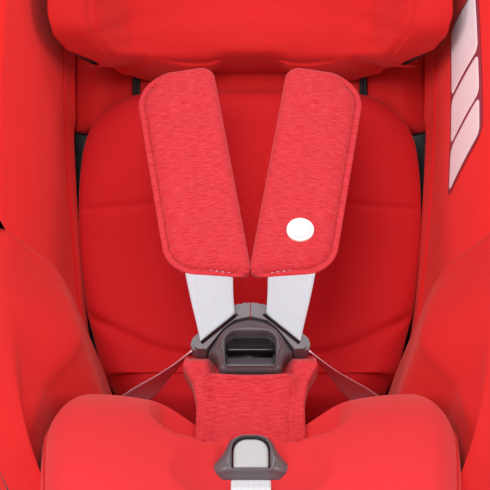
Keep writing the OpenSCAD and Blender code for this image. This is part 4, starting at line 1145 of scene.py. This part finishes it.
def strap(name, path, across, material, body, width, slot="webbing", **more):
    """Flat webbing along a path; across is its width direction, one for all points or one for each."""
    p = np.asarray(path, float)
    a = unit(np.broadcast_to(np.asarray(across, float), p.shape))
    normal = unit(np.cross(unit(np.gradient(p, axis=0)), a))
    w = np.linspace(-1, 1, 15)
    half = np.broadcast_to(np.asarray(width, float).reshape(-1, 1) / 2, (len(p), 1))
    mid = p[:, None] + a[:, None] * (w[None, :, None] * half[..., None])
    soft = (WEB_THICKNESS / 2 * np.sqrt(np.clip(1 - 0.75 * np.abs(w) ** 8, 0, 1)))[None, :, None]
    top, low = mid + normal[:, None] * soft, mid - normal[:, None] * soft
    return sheet(name, top, material, body, under=low, slot=slot, **more)


def stretched(ob, bodies, start, end):
    """Bake the webbing's placement into its mesh; bodies, start and end are not used."""
    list(bodies)
    tuple(np.asarray(start) * MM)
    tuple(np.asarray(end) * MM)
    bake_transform(ob)


def bent(points):
    return resample(spline(points, 180), 3.0)


for label, side in SIDES:
    lean = np.array([math.sin(SHOULDER), math.cos(SHOULDER)])
    low = np.array([33.0, 74.0])
    start, end = np.array([26.0, 24.0]), low + lean * 196
    path2 = np.array([start, start * 0.45 + low * 0.55, low, low + lean * 60, low + lean * 120, end])
    path = bent(on_buckle(np.stack([path2[:, 0] * side, np.full(len(path2), -7.0), path2[:, 1]], -1)))
    tongue_dir = on_buckle([-28.5 * side, 0, 27.0]) - on_buckle([0, 0, 0])
    pad_dir = on_buckle([-lean[1] * side, 0, lean[0]]) - on_buckle([0, 0, 0])
    turn = smooth(0.0, 0.30, np.linspace(0, 1, len(path)))[:, None]
    across = unit(tongue_dir) * (1 - turn) + unit(pad_dir) * turn
    lower = strap(f"shoulder_webbing_{label}", path, across * side, M_WEB, None, 38,
                  replaces=f"shoulder_strap_{label}")
    stretched(lower, (f"tongue_{label}", "seat"), path[0], path[20])
    # Above the pad: back into the slot and down to the yoke.
    high = on_harness([side * 64, -7, BUCKLE_Z + end[1] - 2])
    entry, out, down = on_back([[side * 67, -26, 96], [side * 67, 23, 96], [side * 67, 23, 0]])
    path = bent([high, (high + entry) / 2, entry, (entry + out) / 2, out, (out * 2 + down) / 3, down])
    width = 30 + 8 * smooth(0.1, 0.5, np.linspace(0, 1, len(path)))
    upper = strap(f"strap_riser_webbing_{label}", path, [side, 0, 0], M_WEB, None, width,
                  replaces="strap_risers")
    stretched(upper, ("seat", "headrest"), high, entry)
    # The lap strap, on edge, from the tongue's ear to the slot beside the hip.
    ear, hip = on_buckle([43, -2, 8]), np.array([134.0, 92, 166])
    path = resample(np.array([ear, hip, hip + [1, 2, -26]]), 3.0)
    k = np.clip(np.linspace(0, 1.1, len(path))[:, None], 0, 1)
    face_on = unit(np.cross(unit(hip - ear), [0, math.cos(ELEVATION), -math.sin(ELEVATION)]))
    edge_on = np.cross(unit(hip - ear), face_on)
    turn = np.radians(82 - 62 * smooth(0, 0.8, k))
    edge_on = np.cos(turn) * face_on + np.sin(turn) * edge_on
    width = 13 + 9 * smooth(0, 0.5, k)
    path = mirrored(path, side)
    lap = strap(f"lap_webbing_{label}", path, mirrored(edge_on, side), M_LAP_PAINTED_BOUNCE, None, width,
                replaces=f"lap_strap_{label}")
    stretched(lap, (f"tongue_{label}", "seat"), path[0], path[len(path) // 3])

# Crotch strap, hidden inside its pad.
path = bent([[0, -130, 182], [0, -130, 225], on_harness([0, 0, 8]), on_harness([0, 0, 60])])
strap("crotch_webbing", path, ACROSS_X, M_WEB, "seat", 38, replaces="crotch_strap")
# The adjuster's tail, over the front of the cushion and down.
path = bent([[0, -251, 249], [0, -259, 248.5], [0, -271, 247], [0, -291, 231], [0, -302, 213], [0, -305, 196],
             [0, -304, 172], [0, -302, 144]])
tail = strap("adjuster_webbing", path, ACROSS_X, M_TAIL, None, 29, replaces="adjuster_strap")
hangs = int(np.argmax(path[:, 2] < 202))
stretched(tail, ("seat", "adjuster_strap"), path[hangs], path[-2])
# Its inner run, under the shell and up to the yoke.
u = np.linspace(2.6, 7.8, 60)
path = seat(u, 0 * u, -27.0)
inner_run = strap("adjuster_webbing_inside", path, ACROSS_X, M_TAIL, None, 30)
stretched(inner_run, ("seat", "harness_yoke"), path[28], path[-1])
path = bent(on_back([[0, 47, 94], [0, 48.5, 130], [0, 48.5, 180], [0, 48.5, 220]]))
strap("tether_webbing", path, ACROSS_X, M_DARK_WEB, "seat", 24, slot="dark_webbing", replaces="tether_strap")

# ---------------------------------------------------------------- floor, light and camera


def floor(r=6.0):
    mesh = bpy.data.meshes.new("floor")
    mesh.from_pydata([(-r, -r, 0), (r, -r, 0), (r, r, 0), (-r, r, 0)], [], [(0, 1, 2, 3)])
    ob = bpy.data.objects.new("floor", mesh)
    scene.collection.objects.link(ob)
    m = Nodes("floor_paper")
    v = m.coords("Object")
    m.set(Base_Color=m.mix(m.noise(v, 2.0, 2), (0.86, 0.86, 0.86), (0.90, 0.90, 0.90)), Roughness=0.9)
    mesh.materials.append(m.mat)


def area(name, place, target, size, power):
    """A soft light of the given size, aimed at a target."""
    light = bpy.data.lights.new(name, "AREA")
    light.shape, light.size, light.size_y = "RECTANGLE", size[0], size[1]
    light.energy = power
    ob = bpy.data.objects.new(name, light)
    scene.collection.objects.link(ob)
    ob.location = place
    ob.rotation_euler = (Vector(target) - Vector(place)).to_track_quat("-Z", "Y").to_euler()


floor()
# The background is white to the camera and dimmer as a light.
AMBIENT = 0.37
world = bpy.data.worlds.new("studio")
world.use_nodes = True
sky = world.node_tree
path_node = sky.nodes.new("ShaderNodeLightPath")
dim = sky.nodes.new("ShaderNodeMapRange")
dim.inputs["To Min"].default_value, dim.inputs["To Max"].default_value = AMBIENT, 1.0
sky.links.new(path_node.outputs["Is Camera Ray"], dim.inputs["Value"])
sky.links.new(dim.outputs["Result"], sky.nodes["Background"].inputs["Strength"])
sky.nodes["Background"].inputs["Color"].default_value = (1, 1, 1, 1)
scene.world = world
MIDDLE = (0, 0, 0.35)
area("key", (-0.5, -2.2, 2.0), MIDDLE, (1.3, 1.0), 35)
area("fill_right", (2.1, -1.4, 1.2), MIDDLE, (1.2, 1.2), 22)
area("fill_left", (-2.1, -1.4, 1.2), MIDDLE, (1.2, 1.2), 23)
area("top", (0.0, -0.6, 2.3), (0, -0.1, 0.3), (1.2, 1.0), 12)
scene.view_settings.view_transform = "Standard"

# A close view from the front. VIEW_WIDTH is how far it reaches across at the middle of the seat.
VIEW_WIDTH = 387.1 * MM
DISTANCE = 2.0
SENSOR = 36
centre = Vector((-0.0043, -0.0542, 0.3735))
back = Vector((0, -math.cos(ELEVATION), math.sin(ELEVATION)))
cam = bpy.data.cameras.new("camera")
cam.sensor_width = SENSOR
cam.lens = SENSOR * DISTANCE / VIEW_WIDTH
camera = bpy.data.objects.new("camera", cam)
camera.location = centre + back * DISTANCE
camera.rotation_euler = (-back).to_track_quat("-Z", "Y").to_euler()
scene.collection.objects.link(camera)
scene.camera = camera

bpy.context.view_layer.update()
